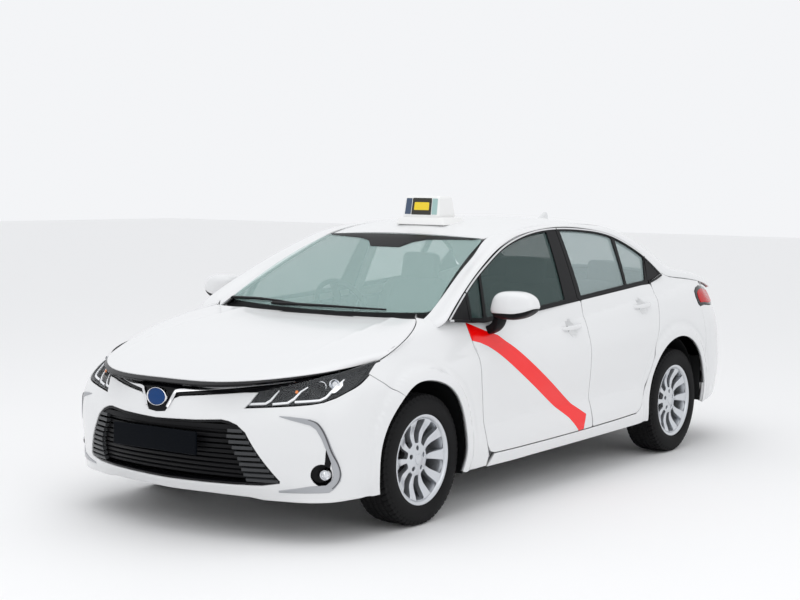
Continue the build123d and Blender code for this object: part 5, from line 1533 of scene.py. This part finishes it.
tailLamp = {
    "frame": ((1.606, 0.89), (1.598, 0.93), (1.622, 0.962), (1.69, 0.984), (1.8, 0.994), (2.0, 0.984),
        (2.2, 0.97), (2.33, 0.956), (2.39, 0.95), (2.39, 0.869), (2.2, 0.869), (2.0, 0.868),
        (1.85, 0.872), (1.72, 0.88), (1.64, 0.876)),
    "lens": ((1.65, 0.893), (1.64, 0.925), (1.66, 0.952), (1.72, 0.966), (1.8, 0.972), (2.0, 0.964),
        (2.19, 0.952), (2.375, 0.938), (2.375, 0.88), (2.19, 0.88), (2.0, 0.879), (1.85, 0.883),
        (1.73, 0.891)),
    "shoulder": ((1.97, 0.987), (2.0, 0.986), (2.2, 0.972), (2.33, 0.958), (2.392, 0.952), (2.392, 1.0),
        (2.33, 0.998), (2.2, 0.992), (2.08, 0.996), (1.97, 1.0)),
}

# a lamp panel lifted off the flank on both sides of the tail
def lampPanel(outline, lift, corner):
    return bothHands(panel(inset(beltSurface, -lift), rounded(np.array(outline), corner), step=0.014,
                           thick=0.03, roll=0.004))

place("tailLampFrames", lampPanel(tailLamp["frame"], 0.002, 0.012), blackGloss, "body", ("tail_lamps",))
place("tailShoulders", bothHands(panel(inset(beltSurface, 0.0015), np.array(tailLamp["shoulder"]), step=0.014,
                                       thick=0.02, roll=0.002)), bodyPaint, slot="body_paint")
place("tailLampLenses", lampPanel(tailLamp["lens"], 0.005, 0.01), redLens, slot="red_lens")
place("rearPlate", roundedBlock(*plates["rear"], 40), plateWhite, "boot_lid", ("rear_plate",), "plate_face")

sign = {
    # half widths, y of both ends: at the bottom, then at the top; then the heights of both
    "body": (0.126, (-0.186, -0.01), 0.116, (-0.165, -0.035), 1.434, 1.556),
    "base": (0.168, (-0.196, 0.03), 0.15, (-0.186, 0.02), 1.392, 1.437),
    "front": (-0.186, 0.021, 1.437, 1.556),  # y of the front, its lean, between these heights
    # blank panels on the front: x and z of both ends, lift
    "panels": (("Dark", signBlue, -0.108, -0.068, 1.452, 1.542, 0.001),
               ("Frame", signBlack, -0.064, 0.07, 1.45, 1.544, 0.001),
               ("Band", signYellow, -0.048, 0.054, 1.476, 1.52, 0.002),
               ("Pale", signGreen, 0.074, 0.11, 1.452, 1.542, 0.001)),
}

# the sign: a box tapering to its top, every corner rounded; B = low + (high - low) t
def signBox(lowX, lowY, highX, highY, lowZ, highZ, rows=12):
    t = np.linspace(0, 1, rows)
    bulge = np.sqrt(np.clip(1 - np.clip((np.abs(t - 0.5) - 0.4) / 0.1, 0, 1) ** 2, 0.02, 1)) * 0.008 - 0.008
    rings = []
    for share, pull in zip(t, bulge):
        halfX = lowX + (highX - lowX) * share + pull
        y0 = lowY[0] + (highY[0] - lowY[0]) * share - pull
        y1 = lowY[1] + (highY[1] - lowY[1]) * share + pull
        ring = rounded(np.array([(-halfX, y0), (halfX, y0), (halfX, y1), (-halfX, y1)]), 0.016, 5)
        rings.append(np.column_stack([ring, np.full(len(ring), lowZ + (highZ - lowZ) * share)]))
    points = np.array(rings)
    return shapeOf(points.reshape(-1, 3), tubeFaces(*points.shape[:2]))

# a panel on the sign's leaning front: P(x, z) = (x, front + lean t - lift, z)
def signPanel(x0, x1, low, high, lift):
    front, lean, foot, top = sign["front"]

    def surface(a, b):
        return np.stack([a, front + lean * (b - foot) / (top - foot) - lift, b], 1)
    corners = np.array([(x0, low), (x1, low), (x1 * 0.97, high), (x0 * 0.97, high)])
    return panel(surface, rounded(corners, 0.004, 3), step=0.03, edgeStep=0.01, thick=0.003, roll=0.0008,
                 out=(0, -1, 0))

place("signBody", signBox(*sign["body"]), signWhite, "body", ("roof_sign",), "sign_plastic")
place("signBase", signBox(*sign["base"]), signWhite, slot="sign_plastic")
for name, look, *facts in sign["panels"]:
    place("signPanel" + name, signPanel(*facts), look, slot="sign_plastic")

fin = {"y": (1.08, 1.236), "length": 0.156, "base": (1.395, 1.37), "sink": 0.006, "lift": 0.012,
       "rise": 0.072, "half": 0.022, "rows": 30, "columns": 17}

# the fin: half thickness h(t) = half sqrt(1 - (2t - 1)^2)^0.6 along it, the ridge rising towards the
# tail; across it x = h s^0.8 and z = base + (ridge - base) (1 - |s|^1.5)
def finShape():
    rows, columns = fin["rows"], fin["columns"]
    y = np.linspace(*fin["y"], rows)
    t = (y - fin["y"][0]) / fin["length"]
    base = np.interp(y, fin["y"], fin["base"]) - fin["sink"]
    tip = np.where(t > 0.9, 1 - ((t - 0.9) / 0.1) ** 2 * 0.9, 1)
    ridge = base + fin["lift"] + fin["rise"] * ease(-0.1, 0.85, t) * tip
    half = fin["half"] * np.sqrt(np.clip(1 - (2 * t - 1) ** 2, 0, 1)) ** 0.6 + 0.0005
    s = np.linspace(-1, 1, columns)
    points = np.stack([half[:, None] * (np.sign(s) * np.abs(s) ** 0.8), np.repeat(y[:, None], columns, 1),
                       base[:, None] + (ridge - base)[:, None] * (1 - np.abs(s) ** 1.5)], 2)
    return shapeOf(points.reshape(-1, 3), tubeFaces(rows, columns))

place("antennaFin", finShape(), bodyPaint, "body", ("antenna_fin",), "body_paint")
print("stage: tail and roof")

# finishes of the nodes that stay in sight as they are
nodeMaterials = {
    "floor_pan": underPaint, "boot_floor": underPaint, "front_rails": underPaint, "front_liners": darkPlastic,
    "rear_liners": darkPlastic, "radiator": castMetal, "scuttle": blackTrim, "engine": castMetal,
    "front_subframe": underPaint, "rear_axle": underPaint, "exhaust": steelPipe, "dashboard": dashGrey,
    "steering_wheel": darkPlastic, "knuckle_left": castMetal, "knuckle_right": castMetal,
}
for name, look in nodeMaterials.items():
    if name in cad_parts:
        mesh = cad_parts[name].data
        mesh.materials.clear()
        mesh.materials.append(look)
print("stage: CAD materials")

inside = {
    "cardDepth": 0.024, "cardThick": 0.07, "edge": {"front": 0.032, "rear": 0.055},
    # (y, z) of the pillars, then depth inside the skin, width and thickness
    "middlePillar": (((0.212, 0.29), (0.225, 0.75), (0.236, 0.99), (0.236, 1.18), (0.236, 1.355)),
        0.048, 0.05, 0.034),
    "frontPillar": (((-0.905, 0.29), (-0.912, 0.6), (-0.908, 0.86), (-0.93, 0.93)),
        0.075, 0.045, 0.06),
    "sill": ((0.66, -0.9, 0.215), (0.832, 0.93, 0.288), 0.012),
    "splash": ((0.56, 1.69, 0.278), (0.862, 1.704, 0.56), 0.004),
}

# the inner half of a door below the window line: S(u, z) - depth n inside the door's outline
def doorCard(which):
    loop = toStations(rounded(doorLoop(which), 0.03, 4))
    loop = loop if turnsLeft(loop) else loop[::-1]
    return panel(inset(beltSurface, inside["cardDepth"]), loopOffset(loop, -inside["edge"][which]), step=0.03,
                 thick=inside["cardThick"], roll=0.012)

# a pillar behind the skin: along points (y, z), depth metres inside the flank or the window plane
def pillarBehind(points, depth, width, thick):
    line = smoothLine(points, 40)
    y, z = line[:, 0], line[:, 1]
    low, high = beltBase(y, np.minimum(z, 0.97))[:, 0], sideX(z)
    share = ease(0.86, 1.02, z)
    x = low * (1 - share) + high * share - depth
    return sweep(np.stack([x, y, z], 1), boxProfile(width, thick, 0.008), (1, 0, 0))

frames = joined(roundedBlock(*inside["sill"], 24), pillarBehind(*inside["middlePillar"]),
                pillarBehind(*inside["frontPillar"]))
place("doorFrames", bothHands(frames), bodyPaint, slot="body_paint")
place("rearSplashPanels", bothHands(roundedBlock(*inside["splash"], 12)), darkPlastic, slot="underbody_paint")
for hand, mirror in hands.items():
    for which in ("front", "rear"):
        place(which + "DoorCard" + hand.title(), mirror(doorCard(which)), dashGrey,
              "door_" + which + "_" + hand, slot="dash_plastic")

seats = {
    # centre, half sizes (across, long, thick), tilt about x in degrees, places of the long and of
    # the cross seams as shares of the half sizes
    "front": (
        ("Base", (0.37, -0.115, 0.452), (0.258, 0.245, 0.068), -6.1, (-0.58, 0.58), (0.25,)),
        ("Back", (0.37, 0.228, 0.745), (0.252, 0.345, 0.068), 67.5, (-0.6, 0.6), (-0.3, 0.25)),
        ("Rest", (0.37, 0.362, 1.122), (0.128, 0.088, 0.046), 80.0, (), ()),
    ),
    "rear": (
        ("Base", (0.0, 0.88, 0.458), (0.6, 0.262, 0.058), -2.2, (-0.34, 0.34), (0.3,)),
        ("Back", (0.0, 1.19, 0.742), (0.6, 0.315, 0.062), 69.0, (-0.34, 0.34), (0.1,)),
        ("RestLeft", (0.37, 1.322, 1.078), (0.12, 0.078, 0.042), 82.0, (), ()),
        ("RestMiddle", (0.0, 1.322, 1.078), (0.12, 0.078, 0.042), 82.0, (), ()),
        ("RestRight", (-0.37, 1.322, 1.078), (0.12, 0.078, 0.042), 82.0, (), ()),
    ),
    "power": 5.0, "pinch": 0.05, "flat": 0.84, "crown": 0.16, "channel": 0.007, "channelWidth": 0.009,
    "piping": 0.0035, "pipingHeight": 0.3, "fill": 0.85,
    # block, side plates and headrest posts of a front seat: corners, rounding, points round
    "feet": (((0.19, -0.28, 0.3), (0.55, 0.18, 0.4), 0.02, 24),
        ((0.115, 0.13, 0.33), (0.135, 0.26, 0.47), 0.006, 12),
        ((0.605, 0.13, 0.33), (0.625, 0.26, 0.47), 0.006, 12),
        ((0.311, 0.338, 1.0), (0.323, 0.35, 1.09), 0.005, 12),
        ((0.421, 0.338, 1.0), (0.433, 0.35, 1.09), 0.005, 12)),
}

# a cushion: |x|^n + |y|^n + |z|^n = 1 stretched to its size; the sides draw in by pinch (1 - y^2) between
# the corners, both faces swell by crown (1 - x^2)(1 - y^2), and the channels are grooves
# channel * exp(-(distance / width)^2); a piping runs round the upper edge
def cushion(centre, half, tilt, long, cross):
    pinch = seats["pinch"]
    p, faces = superShell(seats["power"], 90, 150)
    x, y, z = p[:, 0], p[:, 1], p[:, 2]
    points = np.stack([x * (1 - pinch * (1 - y ** 2)), y * (1 - pinch * (1 - x ** 2)),
                       z * (seats["flat"] + seats["crown"] * (1 - x ** 2) * (1 - y ** 2))], 1) * half
    groove = 0 * x
    for seam in long:
        groove += np.exp(-((x - seam) * half[0] / seats["channelWidth"]) ** 2)
    for seam in cross:
        channel = np.exp(-((y - seam) * half[1] / seats["channelWidth"]) ** 2)
        groove += channel * (np.abs(x) < max(long) + 0.01)
    points[:, 2] -= np.sign(z) * seats["channel"] * np.clip(groove, 0, 1) * ease(0.3, 0.8, np.abs(z))
    turn = np.linspace(0, 2 * math.pi, 97)[:-1]
    ring = np.stack([np.cos(turn), np.sin(turn)], 1)
    ring *= (np.abs(ring) ** seats["power"]).sum(-1, keepdims=True) ** (-1 / seats["power"])
    x, y = ring[:, 0], ring[:, 1]
    edge = np.stack([x * (1 - pinch * (1 - y ** 2)), y * (1 - pinch * (1 - x ** 2)),
                     0 * x + seats["pipingHeight"]], 1) * half
    piping = sweep(edge, circleProfile(seats["piping"], 8), (0, 0, 1), closed=True)
    shape = joined(shapeOf(points, faces), piping)
    angle = math.radians(tilt)
    cos, sin = math.cos(angle), math.sin(angle)
    return moved(shape, np.array([[1, 0, 0], [0, cos, -sin], [0, sin, cos]]), centre)

for row, stood in (("front", "front_seats"), ("rear", "rear_seat")):
    for name, *facts in seats[row]:
        shape = cushion(*facts)
        if row == "front":
            shape = bothHands(shape)
        piece = place(row + "Seat" + name, shape, seatCloth, "body", (stood,) if name == "Base" else (),
                      "seat_cloth")
place("frontSeatFeet", bothHands(joined(*[roundedBlock(*foot) for foot in seats["feet"]])), darkPlastic,
      slot="dash_plastic")
print("stage: seats")

studio = {
    "floorHalf": 40.0, "floorColour": (0.9, 0.9, 0.9),
    "worldColour": (0.97, 0.98, 1.0, 1), "worldStrength": 0.93, "aim": (0, -0.3, 0.6),
    # name, place, size, power
    "lights": (("softTop", (0.5, -1.5, 6.5), 6.0, 90), ("softSide", (7.0, -3.0, 3.5), 4.0, 35),
               ("softNose", (-2.0, -8.5, 3.5), 4.0, 35)),
}

def makeStudio():
    far = studio["floorHalf"]
    mesh = bpy.data.meshes.new("studioFloor")
    mesh.from_pydata([(-far, -far, 0), (far, -far, 0), (far, far, 0), (-far, far, 0)], [], [(0, 1, 2, 3)])
    floor = bpy.data.objects.new("studioFloor", mesh)
    bpy.context.scene.collection.objects.link(floor)
    mesh.materials.append(finish("studioFloor", studio["floorColour"], 0.7, 2, (0.65, 0.8)))
    world = bpy.data.worlds.new("studioWorld")
    bpy.context.scene.world = world
    world.use_nodes = True
    background = world.node_tree.nodes["Background"]
    background.inputs["Color"].default_value = studio["worldColour"]
    background.inputs["Strength"].default_value = studio["worldStrength"]
    for name, where, size, power in studio["lights"]:
        light = bpy.data.lights.new(name, "AREA")
        light.size, light.energy = size, power
        lamp = bpy.data.objects.new(name, light)
        bpy.context.scene.collection.objects.link(lamp)
        lamp.location = where
        lamp.rotation_euler = (Vector(studio["aim"]) - Vector(where)).to_track_quat("-Z", "Y").to_euler()

camera = {"place": (5.11, -7.574, 1.641), "lens": 71.77, "yaw": 35.36, "pitch": 4.29, "roll": 0.66}

# the camera looks along the yaw and pitch from its place, and leans by the roll, all in degrees
def makeCamera():
    yaw, pitch, roll = (math.radians(camera[key]) for key in ("yaw", "pitch", "roll"))
    ahead = np.array([-math.sin(yaw) * math.cos(pitch), math.cos(yaw) * math.cos(pitch), -math.sin(pitch)])
    right = unit(np.cross(ahead, (0, 0, 1)))
    up = np.cross(right, ahead)
    across = math.cos(roll) * right + math.sin(roll) * up
    lift = math.cos(roll) * up - math.sin(roll) * right
    data = bpy.data.cameras.new("mainView")
    data.lens = camera["lens"]
    data.sensor_width = 36
    eye = bpy.data.objects.new("mainView", data)
    bpy.context.scene.collection.objects.link(eye)
    eye.matrix_world = Matrix([[*row, place] for row, place in
                               zip(np.stack([across, lift, -ahead], 1), camera["place"])] + [[0, 0, 0, 1]])
    bpy.context.scene.camera = eye

makeStudio()
makeCamera()
bpy.context.scene.view_settings.view_transform = "Standard"
print("stage: studio")
